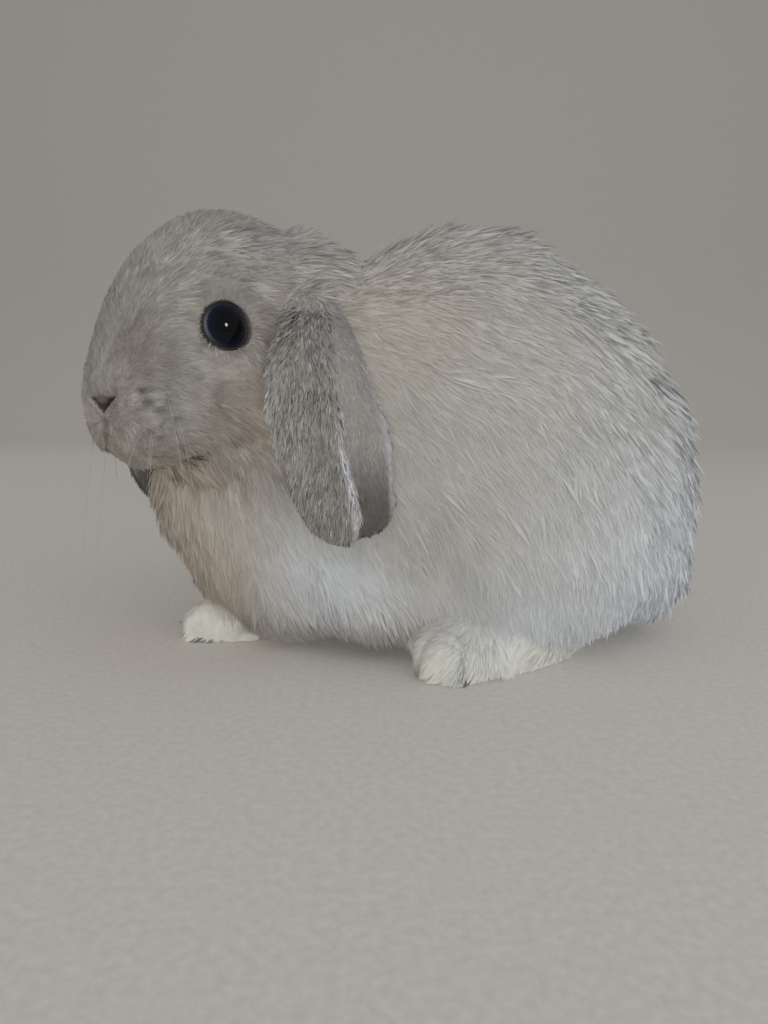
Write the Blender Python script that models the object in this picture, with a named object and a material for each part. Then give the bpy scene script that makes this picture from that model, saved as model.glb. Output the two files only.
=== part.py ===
"""A young lop-eared rabbit, life size, crouched on all fours with its head turned to its left.

Run it with: blender --background --python part.py
The rabbit faces -X with its left side towards -Y, +Z is up and the floor is z = 0. Every solid is the
outer shape of the coat, so the sizes below include the fur. The origin ends up at the middle of the
footprint box, on the floor. Lengths in the tables are in millimetres, and MM turns them into metres.
"""

import math

import bmesh
import bpy
import numpy as np
from mathutils import Matrix, Vector

MM = 0.001

# Gaps and mesh sizes
GAP = 0.35 * MM  # clearance between neighbouring solids
FUSE_VOXEL = 1.9 * MM  # grain of the mesh that joins the masses of the body
FUSE_SMOOTHING = 9  # passes that melt the creases between those masses
BODY_TRIANGLES = 3500
CUTTER_SEGMENTS = 14
EYE_SEGMENTS = 16
SHARP_EDGE = math.radians(40)

# Head: its own frame has x towards the nose, y to the animal's left and z up, from midway between the eyes
HEAD_CENTRE = Vector((-58.5, -26.5, 100.8)) * MM
HEAD_TURN = math.radians(47.0)  # towards the animal's left, away from straight ahead
HEAD_NOD = math.radians(3.0)  # nose down
EYE_CENTRE = Vector((1.8, 17.7, -1.0)) * MM  # of the left eyeball, in the head's frame
EYE_RADII = (8.3, 7.1, 9.0)  # along the head, outwards and upwards, in mm
EYE_FORWARD_TURN = 7.0  # degrees that the eyes look ahead of straight sideways
EYE_UPWARD_TURN = 7.0


def cubic_through(knots, values, at):
    """A smooth curve through (knots, values), read at the points at."""
    knots, values = np.asarray(knots, float), np.asarray(values, float)
    slope = np.gradient(values, knots)
    i = np.clip(np.searchsorted(knots, at) - 1, 0, len(knots) - 2)
    span = knots[i + 1] - knots[i]
    t = (at - knots[i]) / span
    return (
        (2 * t**3 - 3 * t**2 + 1) * values[i]
        + (t**3 - 2 * t**2 + t) * span * slope[i]
        + (3 * t**2 - 2 * t**3) * values[i + 1]
        + (t**3 - t**2) * span * slope[i + 1]
    )


def add_object(name, mesh):
    obj = bpy.data.objects.new(name, mesh)
    bpy.context.scene.collection.objects.link(obj)
    return obj


def mesh_from(name, points, faces):
    mesh = bpy.data.meshes.new(name)
    mesh.from_pydata([tuple(p) for p in points], [], faces)
    bm = bmesh.new()
    bm.from_mesh(mesh)
    bmesh.ops.recalc_face_normals(bm, faces=bm.faces)
    bm.to_mesh(mesh)
    bm.free()
    return mesh


def tube_faces(rings, around, first=0):
    """Quads that join rings of points lying one after another, and an end cap at each end."""
    faces = []
    for r in range(rings - 1):
        for k in range(around):
            a = first + r * around + k
            b = first + r * around + (k + 1) % around
            faces.append((a, b, b + around, a + around))
    faces.append(tuple(first + k for k in range(around)))
    last = first + (rings - 1) * around
    faces.append(tuple(last + k for k in reversed(range(around))))
    return faces


def loft(name, stations, step, pear, squareness=2.25, around=40):
    """A closed body from stations (x, top, bottom, half width) in mm; pear widens its lower half."""
    knots = [s[0] for s in stations]
    at = np.linspace(knots[0], knots[-1], round((knots[-1] - knots[0]) / step) + 1)
    top, bottom, half_width = (cubic_through(knots, [s[k] for s in stations], at) for k in (1, 2, 3))
    turn = np.linspace(0, 2 * math.pi, around, endpoint=False)
    c, s = np.cos(turn), np.sin(turn)
    side = np.sign(c) * np.abs(c) ** (2 / squareness)
    rise = np.sign(s) * np.abs(s) ** (2 / squareness)
    points = []
    for x, z_top, z_bottom, w in zip(at, top, bottom, half_width):
        for dy, dz in zip(side, rise):
            y = w * dy * (1 - pear * dz)
            z = (z_top + z_bottom) / 2 + (z_top - z_bottom) / 2 * dz
            points.append((x * MM, y * MM, z * MM))
    return add_object(name, mesh_from(name, points, tube_faces(len(at), around)))


def ellipsoid(name, centre, radii, yaw=0.0, pitch=0.0, roll=0.0, grow=0.0, segments=24):
    """An ellipsoid in mm and degrees; grow, in metres, thickens it all round."""
    bm = bmesh.new()
    bmesh.ops.create_uvsphere(bm, u_segments=segments, v_segments=segments // 2, radius=1.0)
    turn = Matrix.Rotation(math.radians(yaw), 4, "Z")
    turn @= Matrix.Rotation(math.radians(pitch), 4, "Y") @ Matrix.Rotation(math.radians(roll), 4, "X")
    size = Matrix.Diagonal([*(Vector(radii) * MM + Vector((grow,) * 3)), 1.0])
    bmesh.ops.transform(bm, matrix=Matrix.Translation(Vector(centre) * MM) @ turn @ size, verts=bm.verts)
    mesh = bpy.data.meshes.new(name)
    bm.to_mesh(mesh)
    bm.free()
    return add_object(name, mesh)


def head_matrix():
    """From the head's own frame to the rabbit's."""
    ahead = Matrix(((-1, 0, 0), (0, -1, 0), (0, 0, 1))).to_4x4()
    turn = Matrix.Rotation(HEAD_TURN, 4, "Z")
    nod = Matrix.Rotation(HEAD_NOD, 4, "Y")
    return Matrix.Translation(HEAD_CENTRE) @ turn @ ahead @ nod


def in_head(obj):
    obj.data.transform(head_matrix())
    return obj


# Stations of the trunk, from the chest back to the rump: x, top of the back, belly, half width
TRUNK = [
    (-79, 57, 46, 7),
    (-74, 78, 34, 16),
    (-66, 93, 21, 24),
    (-57, 102, 11, 30),
    (-46, 108, 7, 33),
    (-28, 117, 5, 37),
    (-12, 122.5, 4, 41),
    (3, 129.5, 4, 47),
    (21, 133.7, 4, 51),
    (38, 132.5, 4, 53),
    (51, 126.5, 4, 53),
    (66, 117.5, 4, 50),
    (78, 106.5, 5, 45),
    (88, 94, 7, 38),
    (95, 81, 11, 30),
    (99, 67, 18, 21),
    (101.5, 54, 30, 10),
]

# Stations of the head, from the back of the skull to the nose, in the head's frame
HEAD = [
    (-44, 8, -13, 11),
    (-38, 22, -24, 20),
    (-27.5, 31, -33, 26),
    (-14.5, 33.5, -37, 27),
    (-2.5, 32, -38.5, 24),
    (8, 25.5, -38.5, 21.5),
    (15.5, 19, -38.5, 19.2),
    (20.5, 12, -38, 18.6),
    (24.4, 3.5, -36.8, 18),
    (27.4, -4.5, -34.8, 15.8),
    (29.6, -9.5, -31.5, 12.4),
    (30.5, -13, -27.5, 8.5),
]


def trunk_masses():
    masses = [loft("trunk_mass", TRUNK, step=2.0, pear=0.12)]
    for side in (-1, 1):
        masses += [
            ellipsoid("haunch", (46, side * 31, 46), (43, 25, 42), pitch=12),
            ellipsoid("shoulder", (-30, side * 17, 58), (25, 21, 38), pitch=-12),
            ellipsoid("elbow", (-30, side * 19, 24), (22, 17, 22)),
            ellipsoid("chest_fluff", (-57, side * 8, 47), (15, 17, 27), pitch=-18),
            ellipsoid("belly", (4, side * 25, 25), (37, 22, 21)),
        ]
    masses.append(ellipsoid("nape", (-29, -5, 105), (25, 24, 28)))
    masses.append(ellipsoid("throat", (-50, -11, 70), (25, 25, 26), yaw=25))
    return masses


def head_masses():
    masses = [loft("head_mass", HEAD, step=1.6, pear=0.13, squareness=2.15)]
    for side in (-1, 1):
        masses += [
            ellipsoid("jowl", (-6, side * 17, -16.5), (19, 13.5, 17)),
            ellipsoid("brow", (4, side * 16, 8.5), (12, 6.8, 6)),
            ellipsoid("whisker_pad", (18.8, side * 8.2, -24), (9, 8.6, 8.4), yaw=side * 20),
        ]
    masses.append(ellipsoid("chin", (17, 0, -36), (8, 8.4, 5.2)))
    return [in_head(mass) for mass in masses]


# Fore and hind feet: side (-1 is the animal's left), tip, heel and how far the foot points outwards
FOREFEET = {-1: ((-66.5, -13), (-27, -8)), 1: ((-64, 13), (-27, 11))}
HINDFEET = {-1: ((10, -52), (63, -23)), 1: ((14, 53), (65, 25))}
FOREFOOT_HALF_WIDTH = 9.5
FOREFOOT_HEIGHT = 15.0
HINDFOOT_HALF_WIDTH = 12.0
HINDFOOT_HEIGHT = 19.0
TOES = 4


def foot_masses(tip, heel, half_width, height):
    """A furred foot on the floor from heel to tip, with its toes as rounded lobes at the front."""
    tip, heel = Vector((*tip, 0)), Vector((*heel, 0))
    along = heel - tip
    yaw = math.degrees(math.atan2(along.y, along.x))
    across = Vector((-along.y, along.x, 0)).normalized()
    middle = tip + along * 0.52
    sole = (along.length * 0.54, half_width, height * 0.62)
    masses = [ellipsoid("foot", (middle.x, middle.y, height * 0.36), sole, yaw)]
    for k in range(TOES):
        offset = (k - (TOES - 1) / 2) / TOES * 2
        reach = 0.15 + 0.10 * offset**2
        lobe = tip + along * reach + across * offset * half_width * 0.74
        toe = (10.5, half_width / 2.6, height * 0.46)
        masses.append(ellipsoid("toe", (lobe.x, lobe.y, height * 0.34), toe, yaw))
    return masses


def leg_masses():
    masses = []
    for side, (tip, heel) in FOREFEET.items():
        masses += foot_masses(tip, heel, FOREFOOT_HALF_WIDTH, FOREFOOT_HEIGHT)
        masses.append(ellipsoid("forearm", (heel[0] - 5, heel[1] + side * 2, 22), (14, 12, 20), pitch=-18))
    for tip, heel in HINDFEET.values():
        masses += foot_masses(tip, heel, HINDFOOT_HALF_WIDTH, HINDFOOT_HEIGHT)
    return masses


def evaluated_mesh(obj):
    graph = bpy.context.evaluated_depsgraph_get()
    return bpy.data.meshes.new_from_object(obj.evaluated_get(graph))


def applied(obj):
    """Applies every modifier, which the object then no longer has."""
    mesh = evaluated_mesh(obj)
    obj.modifiers.clear()
    obj.data = mesh
    return obj


def remove(obj):
    bpy.data.objects.remove(obj)


def joined(name, objects):
    """One object that holds the meshes of all, which are removed."""
    bm = bmesh.new()
    for obj in objects:
        bm.from_mesh(obj.data)
        remove(obj)
    mesh = bpy.data.meshes.new(name)
    bm.to_mesh(mesh)
    bm.free()
    return add_object(name, mesh)


def fused(name, objects, voxel, smoothing):
    """The masses as one skin: a voxel remesh joins them and a smooth pass melts the creases."""
    obj = joined(name, objects)
    remesh = obj.modifiers.new("Fuse", "REMESH")
    remesh.mode = "VOXEL"
    remesh.voxel_size = voxel
    smooth = obj.modifiers.new("Melt", "SMOOTH")
    smooth.iterations = smoothing
    smooth.factor = 0.5
    return applied(obj)


def thinned(obj, triangles):
    """Fewer triangles, kept where the shape is fine: on the face and the feet."""
    detail = obj.vertex_groups.new(name="detail")
    for vertex in obj.data.vertices:
        near_face = 1 - min(1.0, (vertex.co - HEAD_CENTRE).length / (60 * MM))
        near_floor = 1 - min(1.0, vertex.co.z / (26 * MM))
        detail.add([vertex.index], 0.7 * max(near_face, 0.6 * near_floor), "REPLACE")
    triangulate = obj.modifiers.new("Triangles", "TRIANGULATE")
    triangulate.quad_method = "SHORTEST_DIAGONAL"
    applied(obj)
    decimate = obj.modifiers.new("Thin", "DECIMATE")
    decimate.ratio = triangles / len(obj.data.polygons)
    decimate.vertex_group = "detail"
    decimate.invert_vertex_group = True
    decimate.vertex_group_factor = 1.0
    return applied(obj)


def cut(obj, cutter, operation):
    """Applies one exact Boolean to obj. The cutter is left."""
    boolean = obj.modifiers.new("Cut", "BOOLEAN")
    boolean.object = cutter
    boolean.operation = operation
    boolean.solver = "EXACT"
    return applied(obj)


def copy_of(obj, name):
    return add_object(name, obj.data.copy())


def box(name, low, high, grow=0.0):
    """A box between two corners in mm."""
    low, high = Vector(low) * MM - Vector((grow,) * 3), Vector(high) * MM + Vector((grow,) * 3)
    bm = bmesh.new()
    bmesh.ops.create_cube(bm, size=1.0)
    size = Matrix.Diagonal([*(high - low), 1.0])
    bmesh.ops.transform(bm, matrix=Matrix.Translation((low + high) / 2) @ size, verts=bm.verts)
    mesh = bpy.data.meshes.new(name)
    bm.to_mesh(mesh)
    bm.free()
    return add_object(name, mesh)


def eyeball(name, side, grow=0.0):
    """An eyeball in its place; side is -1 for the animal's left one."""
    turn = side * (90 - EYE_FORWARD_TURN)
    centre = Vector((EYE_CENTRE.x, -side * EYE_CENTRE.y, EYE_CENTRE.z)) / MM
    radii = (EYE_RADII[1], EYE_RADII[0], EYE_RADII[2])
    ball = ellipsoid(name, (0, 0, 0), radii, grow=grow, segments=EYE_SEGMENTS)
    tilt = Matrix.Rotation(math.radians(-turn), 4, "Z")
    tilt @= Matrix.Rotation(math.radians(-EYE_UPWARD_TURN), 4, "Y")
    ball.data.transform(Matrix.Translation(centre * MM) @ tilt)
    return in_head(ball)


# Stations of each ear from its root to its tip: the middle of its width (x, y, z), half width, and its
# turn, the angle in degrees between its width and straight back
EARS = {
    -1: [
        (-24, -24, 109, 5, 42),
        (-21.5, -30, 105, 9, 38),
        (-19.5, -35.5, 99, 12.3, 31),
        (-18.3, -40, 91, 15.5, 22),
        (-17, -43.8, 81, 17.8, 14),
        (-14.3, -46, 70, 19.2, 9),
        (-12.3, -47.5, 59, 17.8, 7),
        (-10.8, -48.5, 50, 14.6, 6),
        (-10.2, -49, 44, 11.2, 6),
        (-10, -49, 40.4, 6.5, 6),
    ],
    1: [
        (-62, 5, 109, 5, 47),
        (-66, 9, 105, 9, 47),
        (-70.5, 12, 99, 12.3, 47),
        (-74.5, 14.5, 91, 15.5, 47),
        (-77, 16.5, 80, 17.8, 47),
        (-78.3, 18, 69, 19, 47),
        (-78.3, 19, 59, 17.5, 46),
        (-77.3, 20.5, 50, 14.4, 45),
        (-76.5, 22, 44, 11.2, 45),
        (-76.2, 22.5, 40.4, 6.5, 45),
    ],
}
EAR_THICKNESS = 7.8  # two layers of the folded flap, in mm
EAR_EDGE_THICKNESS = 2.6
EAR_CAMBER = 4.6  # how far the middle of the ear bulges outwards
EAR_SLIT = 0.3  # where the free edge of the front lobe lies across the width, from -1 at the front to 1
EAR_SLIT_DEPTH = 2.6
EAR_SLIT_START = 0.5  # how far down the ear the fold opens
EAR_ROWS = 17
EAR_END_TAPER = 0.12  # share of the length over which the thickness runs out at the tip


def ear(name, side):
    """A hanging ear: a flattened pod whose front lobe laps over its rear one towards the tip."""
    stations = np.array(EARS[side], float)
    heights = stations[0, 2] - stations[:, 2]
    down = np.linspace(0, heights[-1], EAR_ROWS)
    x, y, z, half_width, turn = (cubic_through(heights, stations[:, k], down) for k in range(5))
    front = [(q, 1) for q in (-1.0, -0.84, -0.58, -0.27, 0.05, EAR_SLIT)]
    rear = [(q, 1) for q in (EAR_SLIT + 0.06, 0.58, 0.84, 1.0)]
    inside = [(q, -1) for q in (0.84, 0.45, 0.0, -0.45, -0.84)]
    points = []
    for row in range(EAR_ROWS):
        angle = math.radians(turn[row])
        across = Vector((math.cos(angle), math.sin(angle), 0))
        outwards = Vector((-math.sin(angle), math.cos(angle), 0)) * side
        share = down[row] / down[-1]
        taper = 0.35 + 0.65 * min(1.0, (1 - share) / EAR_END_TAPER) ** 0.5
        opened = EAR_SLIT_DEPTH * max(0.0, min(1.0, (share - EAR_SLIT_START) / 0.15))
        for q, layer in front + rear + inside:
            swell = math.sqrt(max(0.0, 1 - abs(q) ** 2.6))
            half = (EAR_EDGE_THICKNESS + (EAR_THICKNESS - EAR_EDGE_THICKNESS) * swell) / 2 * taper
            out = EAR_CAMBER * (1 - q * q) + layer * half
            if layer > 0 and q > EAR_SLIT:
                out -= opened * swell
            middle = Vector((x[row], y[row], z[row]))
            points.append((middle + across * q * half_width[row] + outwards * out) * MM)
    around = len(front) + len(rear) + len(inside)
    return add_object(name, mesh_from(name, points, tube_faces(EAR_ROWS, around)))


def cutting_ball(centre, radii, yaw=0.0, pitch=0.0, grow=0.0):
    return ellipsoid("cutter", centre, radii, yaw, pitch, grow=grow, segments=CUTTER_SEGMENTS)


def region(name, grow=0.0):
    """The space that a node of the body takes, as a cutter; grow adds the gap to its neighbours."""
    if name == "head":
        return in_head(cutting_ball((10, 0, -2.5), (52, 42, 43.5), grow=grow))
    if name == "neck":
        return cutting_ball((-41, -9, 92), (31, 44, 49), yaw=30, grow=grow)
    if name == "tail":
        return cutting_ball((102, 4, 42), (14, 14, 21), pitch=4, grow=grow)
    part, side = name.rsplit("_", 1)
    side = -1 if side == "left" else 1
    if part == "forepaw":
        heel = FOREFEET[side][1]
        low_y, high_y = sorted((side * 40, 2.5))
        return box("cutter", (-90, low_y, -5), (heel[0] - 7, high_y, 17), grow)
    if part == "foreleg":
        return cutting_ball((-38, side * 21, 24), (24, 18, 33), grow=grow)
    if part == "hind_foot":
        tip, heel = HINDFEET[side]
        yaw = math.degrees(math.atan2(heel[1] - tip[1], heel[0] - tip[0]))
        return cutting_ball((tip[0] + 19, tip[1] - side * 9, 1), (34, 15, 18), yaw=yaw, grow=grow)
    return cutting_ball((46, side * 42, 44), (42, 32, 47), pitch=12, grow=grow)


BODY_PARTS = [
    "head",
    "neck",
    "tail",
    "forepaw_left",
    "forepaw_right",
    "foreleg_left",
    "foreleg_right",
    "hind_foot_left",
    "hind_foot_right",
    "hind_leg_left",
    "hind_leg_right",
]

FUR_GREY = (0.36, 0.35, 0.33)
FUR_DARK = (0.17, 0.16, 0.15)
FUR_PALE = (0.55, 0.54, 0.49)
EYE_BLUE = (0.01, 0.012, 0.02)


def material(name, colour, roughness):
    made = bpy.data.materials.new(name)
    made.use_nodes = True
    shader = made.node_tree.nodes["Principled BSDF"]
    shader.inputs["Base Color"].default_value = (*colour, 1.0)
    shader.inputs["Roughness"].default_value = roughness
    shader.inputs["Metallic"].default_value = 0.0
    return made


def finish(obj, finish_material):
    obj.data.materials.clear()
    obj.data.materials.append(finish_material)
    obj.data.shade_smooth()
    obj.data.set_sharp_from_angle(angle=SHARP_EDGE)


def parted(rest):
    """Cuts the named parts out of the whole body; what is left is the trunk."""
    nodes = {}
    for name in BODY_PARTS:
        cutter = region(name)
        nodes[name] = cut(copy_of(rest, name), cutter, "INTERSECT")
        remove(cutter)
        cutter = region(name, GAP)
        cut(rest, cutter, "DIFFERENCE")
        remove(cutter)
    rest.name = "trunk"
    nodes["trunk"] = rest
    return nodes


def grown(obj, distance):
    """A copy of obj, thickened by that distance, as a cutter."""
    thick = copy_of(obj, "cutter")
    displace = thick.modifiers.new("Grow", "DISPLACE")
    displace.mid_level = 0.0
    displace.strength = distance
    return applied(thick)


def main():
    for obj in list(bpy.data.objects):
        bpy.data.objects.remove(obj)
    masses = trunk_masses() + head_masses() + leg_masses()
    masses.append(ellipsoid("tail_tuft", (97.5, 4, 42), (8.5, 11, 17), pitch=4))
    body = thinned(fused("body", masses, FUSE_VOXEL, FUSE_SMOOTHING), BODY_TRIANGLES)
    below = box("cutter", (-200, -200, -60), (200, 200, 0))
    cut(body, below, "DIFFERENCE")
    remove(below)
    whole = copy_of(body, "whole")
    for side in (-1, 1):
        socket = eyeball("cutter", side, GAP)
        cut(body, socket, "DIFFERENCE")
        remove(socket)
    nodes = parted(body)
    for side, word in ((-1, "left"), (1, "right")):
        nodes[f"eye_{word}"] = eyeball(f"eye_{word}", side)
        flap = ear(f"ear_{word}", side)
        shell = grown(whole, GAP)
        nodes[f"ear_{word}"] = cut(flap, shell, "DIFFERENCE")
        remove(shell)
    remove(whole)

    coat = material("coat_grey", FUR_GREY, 0.9)
    dark = material("ear_grey", FUR_DARK, 0.9)
    pale = material("coat_pale", FUR_PALE, 0.9)
    iris = material("eye_dark_blue", EYE_BLUE, 0.05)
    for name, obj in nodes.items():
        chosen = coat
        if name.startswith("ear"):
            chosen = dark
        elif name.startswith(("forepaw", "hind_foot")):
            chosen = pale
        elif name.startswith("eye"):
            chosen = iris
        finish(obj, chosen)

    points = [obj.matrix_world @ v.co for obj in nodes.values() for v in obj.data.vertices]
    low = Vector([min(p[k] for p in points) for k in range(3)])
    high = Vector([max(p[k] for p in points) for k in range(3)])
    shift = Matrix.Translation((-(low.x + high.x) / 2, -(low.y + high.y) / 2, -low.z))
    for obj in nodes.values():
        obj.data.transform(shift)
    print("origin moved by", [round(v / MM, 3) for v in shift.translation])
    counts = {name: sum(len(p.vertices) - 2 for p in obj.data.polygons) for name, obj in nodes.items()}
    print("triangles", sum(counts.values()), counts)


if __name__ == "__main__":
    main()
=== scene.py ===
"""Looks of a young lop rabbit, life size: one skin under a coat of solid tufts, eyes, whiskers and claws.

The rabbit faces -X with its left side towards -Y and stands on z = 0. The head has a frame of its own, with x
towards the nose, y to the animal's left and z up. Tables are in millimetres, and MM turns them into metres.
"""

import math

import bmesh
import bpy
import numpy as np
from bpy.props import FloatProperty, FloatVectorProperty, IntProperty, PointerProperty
from mathutils import Matrix, Vector
from mathutils.bvhtree import BVHTree
from mathutils.kdtree import KDTree


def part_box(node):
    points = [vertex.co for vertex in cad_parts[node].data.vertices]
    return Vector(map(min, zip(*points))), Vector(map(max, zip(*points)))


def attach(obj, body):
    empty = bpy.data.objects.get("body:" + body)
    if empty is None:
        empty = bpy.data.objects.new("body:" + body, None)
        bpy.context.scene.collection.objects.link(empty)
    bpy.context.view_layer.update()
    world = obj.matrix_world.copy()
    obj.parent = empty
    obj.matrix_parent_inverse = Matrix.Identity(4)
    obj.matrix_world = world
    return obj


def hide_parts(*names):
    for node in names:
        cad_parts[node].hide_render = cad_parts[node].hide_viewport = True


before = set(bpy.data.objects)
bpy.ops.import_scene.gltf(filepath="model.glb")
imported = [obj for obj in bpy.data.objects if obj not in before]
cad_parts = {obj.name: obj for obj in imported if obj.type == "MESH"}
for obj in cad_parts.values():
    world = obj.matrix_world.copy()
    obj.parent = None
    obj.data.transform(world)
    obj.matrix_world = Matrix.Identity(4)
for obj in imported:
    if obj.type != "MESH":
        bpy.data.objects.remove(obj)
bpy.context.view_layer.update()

bl_info = {
    "name": "Lop Rabbit",
    "version": (1, 0, 0),
    "blender": (4, 5, 0),
    "location": "3D View > Sidebar > Rabbit",
    "description": "Builds the skin, coat, eyes, whiskers and claws of a young lop rabbit",
    "category": "Object",
}

MM = 0.001
UP = Vector((0, 0, 1))
FLESH = [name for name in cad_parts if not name.startswith(("eye", "ear"))]
# How far the width of each ear is turned from the rabbit's length, and which way its outer face looks
EARS = {"ear_left": (math.radians(11.0), -1), "ear_right": (math.radians(46.0), 1)}
SEED = 20

# Skin
SEAM_CLOSING = 0.45  # mm that each node is thickened by, so that the cuts between them close
FUSE_VOXEL = 1.5
SKIN_VOXEL = 1.15
EAR_VOXEL = 0.9
HEAD_NOD = math.radians(3.0)
SKULL_MIDDLE = Vector((-18, 0, 6))  # in the head's frame
EAR_TOP = 7  # how much of an ear's height its root grows into
EAR_ROOT_RADII = (5, 5, 11)
EYES_AHEAD_OF_MIDDLE = Vector((1.8, 0, -1.0))  # midway between the eyes, in the head's frame

# Eyes, in the frame of each eye: x outwards, y forwards along the head, z up
EYE_RADII = (7.1, 8.3, 9.0)
CORNEA_BULGE = 0.35
EYE_FORWARD_TURN = math.radians(7.0)
EYE_UPWARD_TURN = math.radians(7.0)
LID_OPENING = (6.7, 6.3)  # half width and half height of the gap between the lids
EYE_BACK = 4  # what lies deeper than this behind an eye's middle counts as far from it
FAR = 9.0


def linear(code):
    """An sRGB hex colour as the linear values that Blender works in."""
    parts = [int(code[k : k + 2], 16) / 255 for k in (1, 3, 5)]
    return [c / 12.92 if c <= 0.04045 else ((c + 0.055) / 1.055) ** 2.4 for c in parts]


def colour(name, description, code):
    return FloatVectorProperty(
        name=name, description=description, default=linear(code), size=3, min=0, max=1, subtype="COLOR"
    )


def hairs(name, description, count):
    return IntProperty(name=name, description=description, default=count, min=100)


def watts(name, description, power):
    return FloatProperty(name=name, description=description, default=power, min=0, unit="POWER")


class LOPRABBIT_PG_coat(bpy.types.PropertyGroup):
    """Colours and sizes of the coat"""

    grey: colour("Grey", "Lilac grey of the back and the head", "#cdcbc5")
    # Painted cool sky light: the rump, the haunches and the low flanks made paler and bluer
    sky_light: colour("Silver", "Paler silver of the rump and haunches", "#e4e9ee")
    # Painted warm bounce light: a warm tint on the cheeks, throat, chest and shoulder
    warm_bounce: colour("Fawn", "Warm grey of the cheeks, throat and chest", "#dacdbd")
    dark: colour("Ear grey", "Darker grey of the ears", "#66625f")
    cream: colour("Cream", "Cream white of the feet", "#f0f0e8")
    # The face mark: the head's own darker mauve grey and marbling, and also painted shade round the eyes,
    # under the jaw, under the belly and low on the chest
    shade: colour("Face", "Mauve grey shading of the face", "#a09b96")
    # Round the eyes this is the pale hair of the eye rings; along the edges of the ears it is a painted rim
    # highlight
    ring: colour("Eye ring", "Pale hair round the eyes and along the edges of the ears", "#d2d1d4")
    bare: colour("Bare skin", "Lids, nostrils and lips", "#332a27")
    pink: colour("Pink skin", "Top of the nose and inner corners of the eyes", "#8d7068")
    hair_width: FloatProperty(
        name="Hair width",
        description="Width of one tuft of the coat",
        default=0.18 * MM,
        min=0,
        unit="LENGTH",
        subtype="DISTANCE",
    )
    head_hairs: hairs("Head hairs", "Tufts on the head", 95000)
    body_hairs: hairs("Body hairs", "Tufts on the body", 194000)
    ear_hairs: hairs("Ear hairs", "Tufts on both ears", 56000)
    foot_hairs: hairs("Foot hairs", "Tufts on the four feet", 28000)


class LOPRABBIT_PG_eyes(bpy.types.PropertyGroup):
    """Colours of the eyes"""

    iris: colour("Iris", "Very dark blue of the iris", "#0e1624")
    pupil: colour("Pupil", "The pupil, near black", "#07090d")
    white: colour("White", "The sclera at the rim of the eye", "#9aa3b4")


class LOPRABBIT_PG_stage(bpy.types.PropertyGroup):
    """Floor, lights and camera"""

    floor: colour("Floor", "Colour of the studio floor", "#cfcac2")
    soft_power: watts("Soft light", "The shadowless light beside the camera", 4.8)
    key_power: watts("Key light", "The light that casts shadows", 0.6)
    fill_power: watts("Fill light", "The weaker shadowless lights", 0.7)
    back_power: watts("Back light", "The light on the far side", 8.0)
    rim_power: watts("Rim lights", "Each of the lights behind", 0.3)
    focal_length: FloatProperty(
        name="Focal length", description="Of the camera", default=27.04, min=1, subtype="DISTANCE_CAMERA"
    )


class LOPRABBIT_PG_model(bpy.types.PropertyGroup):
    """Settings of the whole model"""

    coat: PointerProperty(type=LOPRABBIT_PG_coat)
    eyes: PointerProperty(type=LOPRABBIT_PG_eyes)
    stage: PointerProperty(type=LOPRABBIT_PG_stage)


# ---- Frames of the head and the eyes ----


def centre_of(node):
    low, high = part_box(node)
    return (Vector(low) + Vector(high)) / 2


def head_frame():
    """From the head's frame, in metres, to the rabbit's: found from the two eyes."""
    left, right = centre_of("eye_left"), centre_of("eye_right")
    across = (left - right).normalized()
    level = across.cross(UP)
    ahead = level * math.cos(HEAD_NOD) - UP * math.sin(HEAD_NOD)
    above = level * math.sin(HEAD_NOD) + UP * math.cos(HEAD_NOD)
    turn = Matrix((ahead, across, above)).transposed().to_4x4()
    return Matrix.Translation((left + right) / 2 - turn @ (EYES_AHEAD_OF_MIDDLE * MM)) @ turn


def eye_frame(side):
    """From an eye's frame to the rabbit's; side is 1 for the animal's left eye."""
    node = "eye_left" if side > 0 else "eye_right"
    out = Vector((math.sin(EYE_FORWARD_TURN), side * math.cos(EYE_FORWARD_TURN), 0))
    forward = Vector((math.cos(EYE_FORWARD_TURN), -side * math.sin(EYE_FORWARD_TURN), 0))
    lifted = out * math.cos(EYE_UPWARD_TURN) + UP * math.sin(EYE_UPWARD_TURN)
    above = UP * math.cos(EYE_UPWARD_TURN) - out * math.sin(EYE_UPWARD_TURN)
    turn = head_frame().to_3x3() @ Matrix((lifted, forward, above)).transposed()
    return Matrix.Translation(centre_of(node)) @ turn.to_4x4()


HEAD = head_frame()
EYE_FRAMES = {side: eye_frame(side) for side in (1, -1)}


def moved(matrix, points):
    """Points, an array of rows, taken through a 4 x 4 matrix."""
    m = np.array(matrix)
    return points @ m[:3, :3].T + m[:3, 3]


def into(matrix, points):
    """World points in metres, given in that frame in mm."""
    return moved(matrix.inverted(), points) / MM


def unit(vectors):
    return vectors / np.maximum(np.linalg.norm(vectors, axis=1, keepdims=True), 1e-12)


def step(low, high, x):
    """0 below low and 1 above high, with a smooth rise between."""
    t = np.clip((x - low) / (high - low), 0, 1)
    return t * t * (3 - 2 * t)


def bump(x, width):
    return np.exp(-((x / width) ** 2))


def ripple(points, size, seed):
    """Smooth noise from -1 to 1 whose waves are about size mm long."""
    rng = np.random.default_rng(seed)
    total = np.zeros(len(points))
    for _ in range(7):
        wave = rng.normal(size=3)
        wave *= 2 * math.pi / (size * MM) / np.linalg.norm(wave) * rng.uniform(0.7, 1.4)
        total += np.sin(points @ wave + rng.uniform(0, 2 * math.pi))
    return total / 3.2


# ---- How the coat lies ----

BODY_DEPTH = 0.55  # share of the guides' depth that the tufts rise to
HEAD_DEPTH = 0.85
GUIDE_CORE = 0.05  # keeps a guide's weight finite at its own place
GUIDE_FALL = 2.2  # how fast its weight falls with distance

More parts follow.
